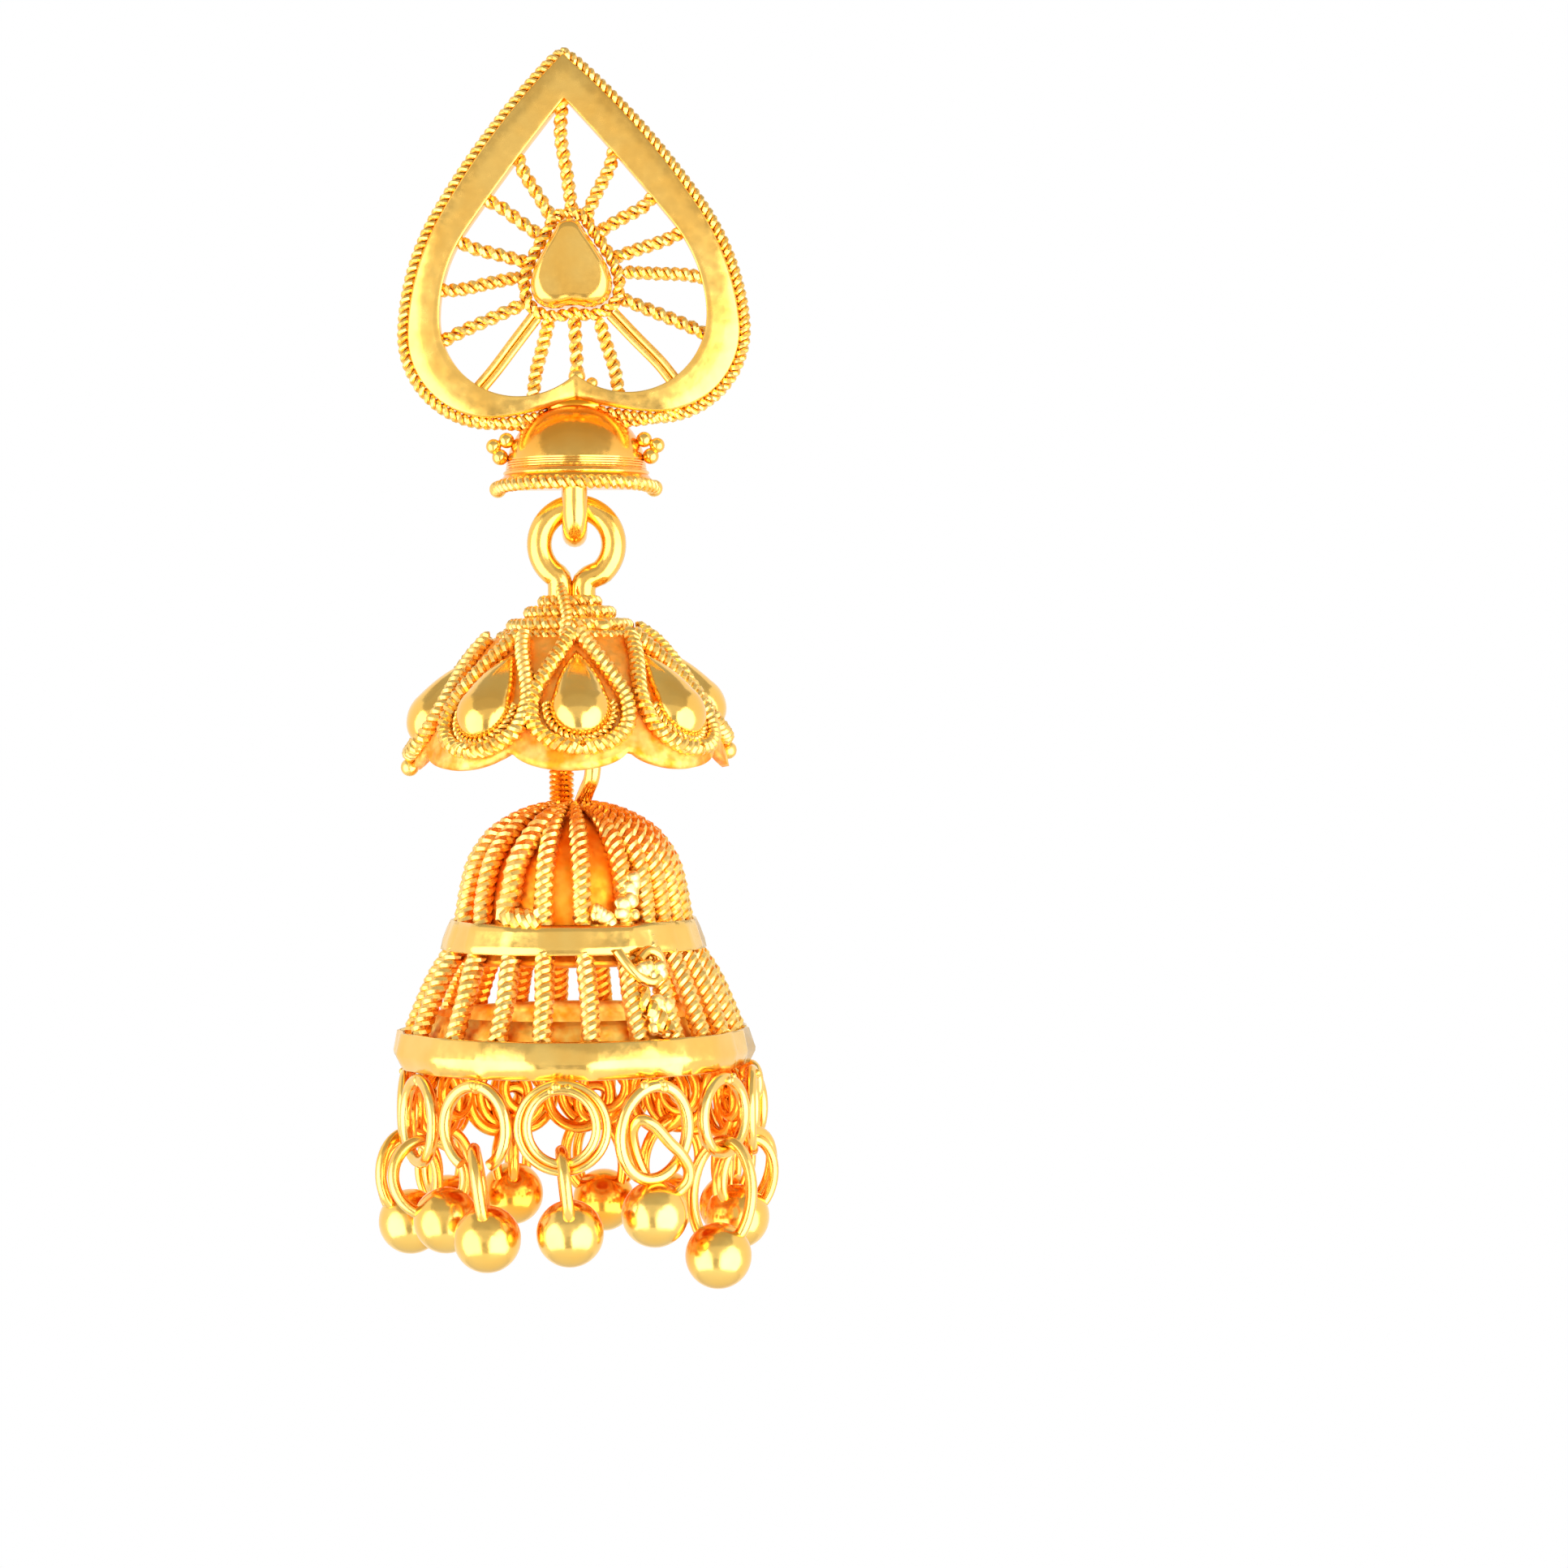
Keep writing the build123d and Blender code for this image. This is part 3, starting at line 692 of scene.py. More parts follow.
low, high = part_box("umbrella_eye")
eye_z = (low.z + high.z) / 2
bends = [hang + RIGHT * (RING_RIGHT + EYE_R * sin(radians(a)))
         + UP * (eye_z - EYE_R * cos(radians(a))) for a in range(RING_OPEN[0], 361 - RING_OPEN[1], 6)]
neck_top, neck_foot = UP * (eye_z - NECK_DROP), UP * (low.z - NECK_DEPTH)
right, left = hang + RIGHT * (NECK - NECK_LEFT), hang - RIGHT * (NECK + NECK_LEFT)
bends = [right + neck_foot, right + neck_top] + bends + [left + neck_top, left + neck_foot]
umbrella_eye = bmesh.new()
lay_round(umbrella_eye, spaced(curved(bends, fine=4), LINK_STEP), FRONT, LINK_WIRE)
piece("umbrella_eye", umbrella_eye, polished_gold, "umbrella")

# ------------------------------------------------------------------ crown of the umbrella
# The crown is twisted wire coiled in rings, each wider than the one above, and soldered over
# a small cone. A tail of the same rope runs down from the neck across its front. The whole
# umbrella sits a little to the left of the line that it hangs on.

CROWN_RINGS = [
    # outer radius, height, rope
    (1.50, -15.02, 0.60), (2.15, -15.52, 0.62), (2.95, -16.12, 0.66), (3.42, -16.62, 0.50),
]
CROWN_TURN = 0.74 * mm
# The rings are pressed together, so their rope is laid a little thicker than its place.
CROWN_PRESSED = 1.08
# Where the cone steps in behind each ring: shares of its rope inwards and upwards.
CONE_STEPS = [(0.3, 0.22), (0.0, -0.2)]
CROWN_TAIL = [(-0.35, -0.9, -14.35), (-0.25, -1.45, -14.75), (-0.1, -2.05, -15.25),
              (0.02, -2.75, -15.95), (-0.12, -3.25, -16.55)]
TAIL_ROPE = 0.58 * mm
TAIL_TURN = 0.66 * mm
# A lump of solder on the lowest rings: angle, radius, height, and its size.
CROWN_SOLDER = (34, 2.72, -16.2)
CROWN_SOLDER_R = 0.46 * mm
CROWN_SOLDER_SHAPE = (1.1, 0.8, 0.8)
umbrella_middle = hang + Vector((-0.25, 0, 0)) * mm


def from_hang(point):
    return Vector((point.x - hang.x, point.y - hang.y, 0)).normalized()


def around(middle, angle, radius, height):
    """The point at an angle round an upright line, and a radius and height in millimetres."""
    return middle + (bearing(angle) * radius + UP * height) * mm


low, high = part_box("crown")
crown = bmesh.new()
cone = [Vector((0, 0, high.z))]
for outer_r, height, rope in CROWN_RINGS:
    radius = outer_r - rope / 2
    ring = [around(umbrella_middle, a, radius, height) for a in range(0, 360, 5)]
    lay_rope(crown, ring, from_hang, rope * CROWN_PRESSED * mm, CROWN_TURN, closed=True)
    cone += upright((radius - rope * inwards, height + rope * up) for inwards, up in CONE_STEPS)
cone += [Vector((cone[-1].x, 0, low.z)), Vector((0, 0, low.z))]
turned_piece(crown, [p + umbrella_middle for p in cone], 48, centre=umbrella_middle)
tail = curved([umbrella_middle + Vector(p) * mm for p in CROWN_TAIL])
lay_rope(crown, tail, from_hang, TAIL_ROPE, TAIL_TURN)
add_bead(crown, around(umbrella_middle, *CROWN_SOLDER), CROWN_SOLDER_R, CROWN_SOLDER_SHAPE)
piece("crown", crown, rope_gold, "umbrella")

# ------------------------------------------------------------------ skirt of the umbrella
# The umbrella is raised from one disc of sheet and cut at the edge into eight round lobes.
# The sheet between the petals is coloured a deeper orange than the drops on it, in random patches:
# painted shade for the sheet sunk between them.

# The skirt's outer face, from the crown to the tips of the lobes: radius, height.
SKIRT = [(3.0, -16.45), (3.35, -16.62), (4.05, -17.3), (4.75, -18.1), (5.5, -19.05),
         (6.15, -19.95), (6.62, -20.75), (6.95, -21.4), (7.18, -22.05), (7.3, -22.65)]
SKIRT_STEP = 0.05 * mm
SKIRT_ROW = 0.35 * mm
SKIRT_SIDES = 192
SKIRT_WALL = 0.32 * mm
PETALS = 8
# How far the lobes are turned round from the front, in degrees.
LOBE_TURN = 2.6
# How deep the edge is cut in between two lobes, how near to half circles the lobes are, and from
# how far down its slope, and with what power of the way, the sheet follows the cut.
NOTCH = 0.95 * mm
LOBE_ROUND = 0.97
GATHER_FROM = 0.5
GATHER_POWER = 1.5

skirt_curve = curved(upright(SKIRT))
skirt_line = spaced(skirt_curve, SKIRT_STEP)


def on_skirt(down, angle, lift=0.0):
    """The point at a distance down the skirt's slope, an angle from the front and a height over
    the skirt."""
    place = min(max(down / SKIRT_STEP, 0), len(skirt_line) - 1.001)
    i = int(place)
    here = skirt_line[i].lerp(skirt_line[i + 1], place - i)
    slope = (skirt_line[i + 1] - skirt_line[i]).normalized()
    out = bearing(angle)
    return umbrella_middle + out * here.x + UP * here.z + (UP * slope.x - out * slope.z) * lift


# Painted shade: the sheet is coloured a deeper orange in patches, and most on its sides turned
# upwards and to the hanging line.
sheet_gold = gold("sheet_gold", (1.0, 0.64, 0.19), (1.0, 0.33, 0.02), polish=0.55,
                  grain=0.014 * mm, grain_size=0.3, dents=0.08 * mm, painted_shade=(1.0, 0.40, 0.04),
                  shade_upwards=1.7, patch=0.8)

skirt = bmesh.new()
rows = spaced(skirt_curve, SKIRT_ROW)
turned_piece(skirt, [p + umbrella_middle for p in rows], SKIRT_SIDES, centre=umbrella_middle)
skirt_length = SKIRT_STEP * (len(skirt_line) - 1)
row_step = skirt_length / (len(rows) - 1)
for vert in skirt.verts:
    level = vert.co - umbrella_middle
    angle = degrees(atan2(level.x, -level.y))
    down = min(range(len(rows)), key=lambda k: abs(rows[k].z - level.z)) * row_step
    lobe = LOBE_ROUND * (((angle - LOBE_TURN) * PETALS / 360 + 0.5) % 1 * 2 - 1)
    notch = NOTCH * (1 - sqrt(1 - lobe ** 2)) / (1 - sqrt(1 - LOBE_ROUND ** 2))
    gather = max(0.0, (down / skirt_length - GATHER_FROM) / (1 - GATHER_FROM))
    vert.co = on_skirt(down - notch * gather ** GATHER_POWER, angle)
piece("umbrella_skirt", skirt, sheet_gold, "umbrella", wall=SKIRT_WALL)

# ------------------------------------------------------------------ petal drops
# Each lobe carries a hollow teardrop, struck from thin sheet and polished, point towards the
# crown. Two ropes of opposite twist outline it and meet at its point and under its bulb, so
# that where two petals stand side by side their ropes make a herringbone.

# How far the petals are turned round from the front, in degrees, and where a bulb's middle and
# its point are, down the skirt's slope.
PETAL_TURN = 7
PETAL_BULB_DOWN = 4.85 * mm
PETAL_POINT_DOWN = 1.35 * mm
PETAL_BULB_R = 1.37 * mm
PETAL_HEIGHT = 1.15 * mm
# How full the sides are between the bulb and the point, and how deep the drop is let in.
PETAL_FULL = 0.17 * mm
PETAL_SUNK = 0.15 * mm
BULB_STEPS = 16
SIDE_STEPS = 8
PETAL_ROPE = 0.78 * mm
PETAL_ROPE_TURN = 0.70 * mm
# A thin, tightly twisted wire that looks like a row of beads lies round each bulb: its thickness
# and turn, how far outside the bulb it runs, and as far as which angle on both sides.
BEAD_ROW = 0.42 * mm
BEAD_ROW_TURN = 0.588 * mm
BEAD_ROW_OUT = 0.147 * mm
BEAD_ROW_END = 105
# How high over the skirt the middle lines of the ropes and of the rows run.
PETAL_ROPE_LIFT = 0.2652 * mm
BEAD_ROW_LIFT = 0.168 * mm
PETAL_OUTLINE = [
    # down the skirt, aside
    (0.40, 0.16), (1.2, 0.50), (2.1, 0.98), (3.1, 1.52), (4.0, 1.95), (5.0, 2.14), (5.8, 2.0),
    (6.35, 1.48), (6.68, 0.76), (6.74, 0.02),
]
# How much lower and how much further round, in degrees, a petal was soldered on, by its number.
PETAL_SLIP = {1: (0.1, 2), 2: (-0.35, 1), 6: (0.3, 0), 7: (0.15, 3.5)}
# At the two sides the ropes end in a small ball: down the skirt, over it, radius.
BALLED_PETALS = (2, 6)
END_BALL_DOWN = 7.35 * mm
END_BALL_LIFT = 0.15 * mm
END_BALL_R = 0.42 * mm


def on_petal(petal, down, aside, lift=0.0):
    """The point at a distance down a petal's middle line, a distance to its side and a height
    over the skirt."""
    lower, further = PETAL_SLIP.get(petal, (0, 0))
    down += lower * mm
    radius = (on_skirt(down, 0) - umbrella_middle).xy.length
    middle = PETAL_TURN + petal * 360 / PETALS + further
    return on_skirt(down, middle + degrees(aside / radius), lift)


def cut_off(mesh, height, upper):
    """Cuts off what is above a height, or else what is below it, and closes the cut."""
    bmesh.ops.bisect_plane(mesh, geom=[*mesh.verts, *mesh.edges, *mesh.faces],
                           plane_co=UP * height, plane_no=UP, clear_outer=upper,
                           clear_inner=not upper)
    close_holes(mesh)


# Half of the teardrop's section from the foot of its bulb to its point: along, out. Its sides
# leave the bulb at a tangent.
point = RIGHT * (PETAL_BULB_DOWN - PETAL_POINT_DOWN)
bulb_arc = radians(90) + asin(PETAL_BULB_R / point.x)
section = []
for k in range(BULB_STEPS + 1):
    angle = bulb_arc * k / BULB_STEPS
    section.append(Vector((-cos(angle), sin(angle), 0)) * PETAL_BULB_R)
bulb_end = section[-1]
for k in range(1, SIDE_STEPS + 1):
    fullness = Vector((0, PETAL_FULL * sin(pi * k / SIDE_STEPS), 0))
    section.append(bulb_end.lerp(point, k / SIDE_STEPS) + fullness)
for petal in range(PETALS):
    tear = bmesh.new()
    turned_piece(tear, section, 40, axis=RIGHT)
    cut_off(tear, -PETAL_SUNK, upper=False)
    for vert in tear.verts:
        vert.co = on_petal(petal, PETAL_BULB_DOWN - vert.co.x, vert.co.y,
                           vert.co.z * PETAL_HEIGHT / PETAL_BULB_R)
    piece(f"petal_drop_{petal + 1}", tear, polished_gold, "umbrella", crease=50)

petal_ropes = bmesh.new()
bead_r = PETAL_BULB_R + BEAD_ROW_OUT
for petal in range(PETALS):
    for hand in (-1, 1):
        bends = [on_petal(petal, down * mm, hand * aside * mm, PETAL_ROPE_LIFT)
                 for down, aside in PETAL_OUTLINE]
        lay_rope(petal_ropes, curved(bends), from_hang, PETAL_ROPE, PETAL_ROPE_TURN, hand=hand)
    beads = [on_petal(petal, PETAL_BULB_DOWN + bead_r * cos(radians(a)), bead_r * sin(radians(a)),
                      BEAD_ROW_LIFT) for a in range(-BEAD_ROW_END, BEAD_ROW_END + 1, 10)]
    lay_rope(petal_ropes, beads, from_hang, BEAD_ROW, BEAD_ROW_TURN)
for petal in BALLED_PETALS:
    add_bead(petal_ropes, on_petal(petal, END_BALL_DOWN, 0.0, END_BALL_LIFT), END_BALL_R)
piece("petal_ropes", petal_ropes, rope_gold, "umbrella")

# ------------------------------------------------------------------ inner loop
# Under the umbrella a plain loop of link wire is soldered to the sheet. The bell hangs from it.

LOWER_LINK_TURN = radians(30)
loop_side = Vector((cos(LOWER_LINK_TURN), sin(LOWER_LINK_TURN), 0))
link_loop("inner_loop", "umbrella", loop_side)

# ------------------------------------------------------------------ eye of the bell
# The bell's eye is bent like the umbrella's and stands across the loop that it hangs from. Its
# legs are filed thinner than its ring, and the back one is wound with thin wire.

BELL_LEG = 0.74 * mm
# The wire has the legs' thickness as far up as this distance under the ring's middle, and grows
# to its own over a millimetre.
LEG_TOP = 0.3 * mm
# The eye's two legs: distance from the hanging line, height. The front one slants in to the
# top of the bell, and the back one stands straight on its shoulder.
FRONT_LEG = [(0.20, -24.75), (0.36, -24.45), (0.98, -23.72), (1.55, -23.05)]
BACK_LEG = [(-1.60, -23.35), (-1.54, -24.00), (-1.54, -24.85)]
COIL_WIRE = 0.25 * mm
COIL_R = 0.465 * mm
COIL_TURNS = 11
COIL_STEPS = 14
# The coil's middle line: how far behind the hanging line, from how far under the ring's middle,
# down to which height.
COIL_BEHIND = 1.57 * mm
COIL_TOP = 0.15 * mm
COIL_FOOT = -24.75 * mm

low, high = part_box("bell_eye")
eye_z = (low.z + high.z) / 2
eye_side = loop_side.cross(UP)
bends = [hang + eye_side * EYE_R * sin(radians(a)) + UP * (eye_z - EYE_R * cos(radians(a)))
         for a in range(86, 275, 9)]
front_leg, back_leg = ([hang + (eye_side * along + UP * z) * mm for along, z in leg]
                       for leg in (FRONT_LEG, BACK_LEG))
route = spaced(curved(front_leg + bends + back_leg, fine=4), LINK_STEP)
radii = []
for point in route:
    grown = min(1, max(0, (point.z - eye_z + LEG_TOP) / mm))
    radii.append((BELL_LEG + (LINK_WIRE - BELL_LEG) * grown) / 2)
bell_eye = bmesh.new()
lay_wire(bell_eye, route, [loop_side] * len(route), radii, 16)
coil_top = eye_z - COIL_TOP
coil_steps = COIL_TURNS * COIL_STEPS
coil = []
for k in range(coil_steps + 1):
    out = Matrix.Rotation(tau * k / COIL_STEPS, 3, "Z") @ RIGHT
    height = coil_top + (COIL_FOOT - coil_top) * k / coil_steps
    coil.append(hang - eye_side * COIL_BEHIND + out * COIL_R + UP * height)
lay_round(bell_eye, coil, UP, COIL_WIRE, 8)
piece("bell_eye", bell_eye, polished_gold, "bell")

# ------------------------------------------------------------------ rib cage of the bell
# Twenty-two ropes of three strands run from the foot of the eye down to the lower band. They
# are shaped and spaced by hand, so the gaps between them differ. One of them, to the left of
# the front, was bent aside and finished along the top of the upper band.

# The bell, too, sits a little to the left of the line that it hangs on.
bell_middle = hang + Vector((-0.2, 0, 0)) * mm
RIB_ROPE = 0.93 * mm
RIB_TURN = 1.30 * mm
RIB_STRANDS = 3
# A rib's centre line: radius, height.
RIB_LINE = [(0.95, -24.38), (1.75, -24.60), (2.52, -24.95), (3.10, -25.33), (3.80, -25.95),
            (4.50, -27.00), (4.86, -28.30), (5.12, -29.70), (5.55, -30.95), (6.50, -32.50),
            (7.50, -34.85)]
# Where the ribs stand, in degrees round the bell from its front to the right: above the upper
# band, below it.
RIBS = [
    (-13.0, -8.2), (7.0, 9.1), (31.0, 25.5), (44.0, 40.0), (56.0, 53.0), (68.0, 66.0), (80, 79.5),
    (93, 93), (108, 108), (124, 124), (140, 140), (156, 156), (172.0, 172.0), (189.2, 189.2),
    (204.8, 204.8), (223, 223), (239, 239), (256, 256), (271.5, 271.5), (286.0, 291.5),
    (307.5, 316.5), (328.5, 335.6),
]
# A rib passes from one to the other between these shares of its height.
RIB_SHIFT = (0.43, 0.80)
RIB_HEIGHT = 10.4 * mm
# The last of them is the bent one. Above the band its rope is thicker, with longer turns.
BENT_RIB = RIBS[-1]
BENT_ROPE = 1.0788 * mm
BENT_TURN = 1.456 * mm
# The bent rib above the band: angle round the bell, radius, height.
BENT_LINE = [(-14, 1.2, -24.42), (-21, 2.52, -24.90), (-27.5, 3.85, -25.90),
             (-31, 4.58, -27.05), (-31.8, 4.90, -28.25), (-33.5, 5.06, -28.88),
             (-32, 5.22, -29.27), (-25, 5.30, -29.40), (-14, 5.32, -29.42)]
# Below the band the same rib begins again at this height, behind the band.
BENT_RIB_CUT = -30.4 * mm
# A rib sways to the sides on its way down, by an angle between these, in degrees. The sway's
# phase turns by this many radians over the height, and its width grows this fast to its whole.
RIB_SWAY = (0.1, 0.6)
SWAY_TURN = 5
SWAY_GROWTH = 4
# The share of its thickness that a rib starts with, and how fast it gains the rest.
RIB_START = 0.45
RIB_GAIN = 2.4
# The colours of the ribs' and hoops' wire: bright, duller, and the painted shade on the side turned
# into the bell.
WIRE_TONE = (1.0, 0.68, 0.20)
WIRE_SHADE = (1.0, 0.62, 0.15)
WIRE_PAINTED_SHADE = (1.0, 0.42, 0.04)


def rib_thickness(share):
    """A rib starts thin under the eye and soon has its full thickness."""
    return min(1.0, RIB_START + share * RIB_GAIN)


rib_route = curved([Vector((0, -r, z)) * mm for r, z in RIB_LINE])
rib = bmesh.new()
lay_rope(rib, rib_route, toward_front, RIB_ROPE, RIB_TURN, taper=rib_thickness,
         strands=RIB_STRANDS)
rib_data = bpy.data.meshes.new("rib")
rib.to_mesh(rib_data)
rib.free()

# The ribs' sides turned into the bell are coloured with the painted shade.
rib_gold = gold("rib_gold", WIRE_TONE, WIRE_SHADE, polish=0.3, grain=0.004 * mm,
                grain_size=0.2, painted_shade=WIRE_PAINTED_SHADE)
cage = bmesh.new()
deal = random.Random(7)
for above, below in RIBS:
    rib = bmesh.new()
    rib.from_mesh(rib_data)
    bow, phase = radians(deal.uniform(*RIB_SWAY)), deal.random() * tau
    for vert in rib.verts:
        down = (RIB_LINE[0][1] * mm - vert.co.z) / RIB_HEIGHT
        swing = bow * sin(down * SWAY_TURN + phase) * min(1.0, down * SWAY_GROWTH)
        share = (down - RIB_SHIFT[0]) / (RIB_SHIFT[1] - RIB_SHIFT[0])
        angle = above + (below - above) * min(1.0, max(0.0, share))
        vert.co = Matrix.Rotation(radians(angle) + swing, 3, "Z") @ vert.co
    if (above, below) == BENT_RIB:
        cut_off(rib, BENT_RIB_CUT, upper=True)
    add_to(cage, rib)
bpy.data.meshes.remove(rib_data)
bent = curved([around(Vector(), *place) for place in BENT_LINE])
lay_rope(cage, bent, toward_front, BENT_ROPE, BENT_TURN, taper=rib_thickness, strands=RIB_STRANDS)
bmesh.ops.translate(cage, verts=cage.verts, vec=bell_middle)
piece("rib_cage", cage, rib_gold, "bell")

# ------------------------------------------------------------------ dome sheet of the bell
# Behind the ribs, from the foot of the eye down to the upper band, the bell is closed by a dome of
# thin sheet. The ribs were soldered to it. It is coloured deep orange all over, as painted shade for
# the inside of the bell.

# How deep the sheet lies behind the ribs' middle lines, how far it goes below its CAD node, and
# how much its pole rises over its first ring.
DOME_DEPTH = 0.36 * mm
DOME_FOOT = 0.15 * mm
DOME_POLE = 0.1 * mm
DOME_WALL = 0.3 * mm

low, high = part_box("bell_dome")
dome_route = [p for p in rib_route if p.z > low.z - DOME_FOOT]
dome_line = []
for before, here, after in zip(dome_route, dome_route[1:], dome_route[2:]):
    along = (after - before).normalized()
    dome_line.append(bell_middle + here + Vector((0, -along.z, along.y)) * DOME_DEPTH)
dome_line.insert(0, Vector((bell_middle.x, bell_middle.y, dome_line[0].z + DOME_POLE)))
dome = bmesh.new()
turned_piece(dome, dome_line, 96, centre=bell_middle)
# Painted shade: the whole dome is coloured a deep orange, in random patches.
dome_shade_gold = gold("dome_shade_gold", (1.0, 0.42, 0.04), (1.0, 0.29, 0.01), polish=0.5,
                  grain=0.01 * mm, grain_size=0.3, dents=0.06 * mm, patch=0.9)
piece("bell_dome", dome, dome_shade_gold, "bell", wall=DOME_WALL)

# ------------------------------------------------------------------ bands of the bell
# Two ribbons of plain sheet hold the ribs: a narrow one at the waist, and one at the foot that is
# folded to a ridge. Each is bent where it is soldered to a rib, so that it runs in flats from rib to
# rib. Their inner sides are painted a deeper orange in mottled patches, as painted shade. A strip of
# thin sheet, mottled by the solder and painted the same deeper orange as painted shade, holds the
# feet of the ribs from inside and stands a little higher than the lower band.

BANDS = [
    # node, wall, seed of its unevenness, profile: radius, height
    ("upper_band", 0.2, 3, [(5.70, -29.64), (5.78, -29.98), (5.97, -30.60), (6.09, -30.98)]),
    ("lower_band", 0.3, 11, [(8.00, -34.70), (8.07, -34.80), (8.24, -35.52), (8.29, -35.68),
                             (8.26, -35.82), (8.04, -36.38), (7.93, -36.44)]),
]
# The corners are pushed in or out and tipped by up to these amounts, and rounded.
CORNER_PUSH = 0.11 * mm
CORNER_TIP = 0.066 * mm
CORNER_ROUND = 0.34 * mm
CORNER_ANGLES = [(above + below) / 2 for above, below in RIBS]
FOOT_STRIP = [(6.48, -33.92), (6.72, -34.45), (6.98, -35.00), (7.20, -35.50)]
FOOT_STRIP_WALL = 0.16 * mm

band_gold = gold("band_gold", (1.0, 0.65, 0.17), (1.0, 0.59, 0.13), polish=0.18,
                 grain=0.003 * mm, grain_size=0.3, dents=0.012 * mm)
# Painted shade: the bands' inner sides and the foot strip are coloured a deeper orange, mottled in
# patches.
mottled_shade_gold = gold("mottled_shade_gold", (1.0, 0.64, 0.13), (1.0, 0.36, 0.02), polish=0.48,
                  grain=0.02 * mm, grain_size=0.3, dents=0.12 * mm, patch=0.7)
for node, wall, seed, profile in BANDS:
    deal = random.Random(seed)
    flats = len(CORNER_ANGLES)
    ribbon = bmesh.new()
    turned_piece(ribbon, upright(profile), flats)
    corners = [(deal.uniform(-1, 1) * CORNER_PUSH, deal.uniform(-1, 1) * CORNER_TIP)
               for _ in range(flats)]
    top, bottom = profile[0][1] * mm, profile[-1][1] * mm
    for vert in ribbon.verts:
        corner = round(degrees(atan2(vert.co.x, -vert.co.y)) * flats / 360) % flats
        push, tip = corners[corner]
        height = (vert.co.z - bottom) / (top - bottom) * 2 - 1
        radius = vert.co.xy.length + push + tip * height
        vert.co = bell_middle + bearing(CORNER_ANGLES[corner]) * radius + UP * vert.co.z
    folds = [e for e in ribbon.edges if abs((e.verts[0].co - e.verts[1].co).normalized().z) > 0.5]
    bmesh.ops.bevel(ribbon, geom=folds, offset=CORNER_ROUND, offset_type="OFFSET", segments=5,
                    profile=0.5, affect="EDGES", material=-1)
    piece(node, ribbon, band_gold, "bell", wall=wall * mm,
          inner_finish=mottled_shade_gold)

foot_strip = bmesh.new()
turned_piece(foot_strip, [p + bell_middle for p in upright(FOOT_STRIP)], 72, centre=bell_middle)
piece("foot_strip", foot_strip, mottled_shade_gold, "bell", wall=FOOT_STRIP_WALL)

# ------------------------------------------------------------------ mends on the bell
# To the right of the front the maker has mended the bell: lumps of solder stand over the feet
# of two ribs at the upper band, and under it lie a curl of plain wire and a short piece of
# coarse rope, with more solder.

SOLDER = [
    # angle, radius, height, half width, half height
    (17.5, 5.36, -29.26, 0.50, 0.50), (31.6, 5.28, -28.94, 0.62, 0.52),
    (35.0, 5.08, -27.93, 0.26, 0.74), (31.0, 6.62, -31.60, 0.40, 0.30),
    (36.5, 6.70, -31.75, 0.36, 0.34), (35.5, 7.24, -33.25, 0.44, 0.40),
    (33.0, 7.50, -34.10, 0.36, 0.44),
]
# Each place has this many drops of solder: half height and half thickness in millimetres, and
# how wide a drop is for its height. They keep to this share of the place's width and height.
SOLDER_DROPS = 6
SOLDER_R = (0.26, 0.40)
SOLDER_FLAT = 0.26
SOLDER_WIDE = (0.8, 1.3)
SOLDER_SPREAD = 0.7
# The curl and the piece of rope: angle, radius, height. One side of the curl's wire is kept
# turned to the angle CURL_FACES.
CURL = [(21.5, 6.18, -30.85), (24.0, 6.50, -31.35), (28.5, 6.72, -31.95), (34.0, 6.80, -32.22),
        (39.0, 6.64, -31.80), (39.5, 6.42, -31.10), (34.5, 6.34, -30.85), (29.8, 6.50, -31.20)]
CURL_FACES = 30
CURL_WIRE = 0.48 * mm
CURL_STEP = 0.12 * mm
ROPE_BIT = [(28.0, 6.95, -32.70), (31.5, 7.30, -33.50), (36.0, 7.75, -34.45)]
ROPE_BIT_THICK = 0.95 * mm
ROPE_BIT_TURN = 1.2 * mm

solder_gold = gold("solder_gold", (1.0, 0.76, 0.31), (1.0, 0.60, 0.15), polish=0.30,
                   grain=0.02 * mm, grain_size=0.25, dents=0.08 * mm, patch=0.5)
lumps = bmesh.new()
deal = random.Random(2)
for angle, radius, height, half_width, half_height in SOLDER:
    out = bearing(angle)
    turned = Matrix((out.cross(UP), out, UP)).transposed().to_4x4()
    for _ in range(SOLDER_DROPS):
        aside, higher = deal.uniform(-1, 1) * half_width, deal.uniform(-1, 1) * half_height
        size = deal.uniform(*SOLDER_R)
        place = (Matrix.Translation(around(bell_middle, angle, radius, height)) @ turned
                 @ Matrix.Translation(Vector((aside, 0, higher)) * SOLDER_SPREAD * mm)
                 @ Matrix.Diagonal((size * deal.uniform(*SOLDER_WIDE), SOLDER_FLAT, size, 1)))
        bmesh.ops.create_icosphere(lumps, subdivisions=3, radius=mm, matrix=place)
piece("bell_solder", lumps, solder_gold, "bell")

mend = bmesh.new()
curl, rope_bit = (curved([around(bell_middle, *p) for p in line]) for line in (CURL, ROPE_BIT))
lay_round(mend, spaced(curl, CURL_STEP), bearing(CURL_FACES), CURL_WIRE, 12)
lay_rope(mend, rope_bit, from_hang, ROPE_BIT_THICK, ROPE_BIT_TURN)
piece("bell_mends", mend, band_gold, "bell")

# ------------------------------------------------------------------ hoops
# Twelve hoops of round wire are soldered under the lower band, each in the line of the wall.
# Some were bent oval or left open. The one at the front is wound twice, and those at the back
# loosely, of two turns or more.

# The number of hoops, and how far the first one is turned round from the front, in degrees.
STATIONS = 12
STATION_TURN = -2.6
HOOP_WIRE = 0.56 * mm
HOOP_R = 1.67 * mm
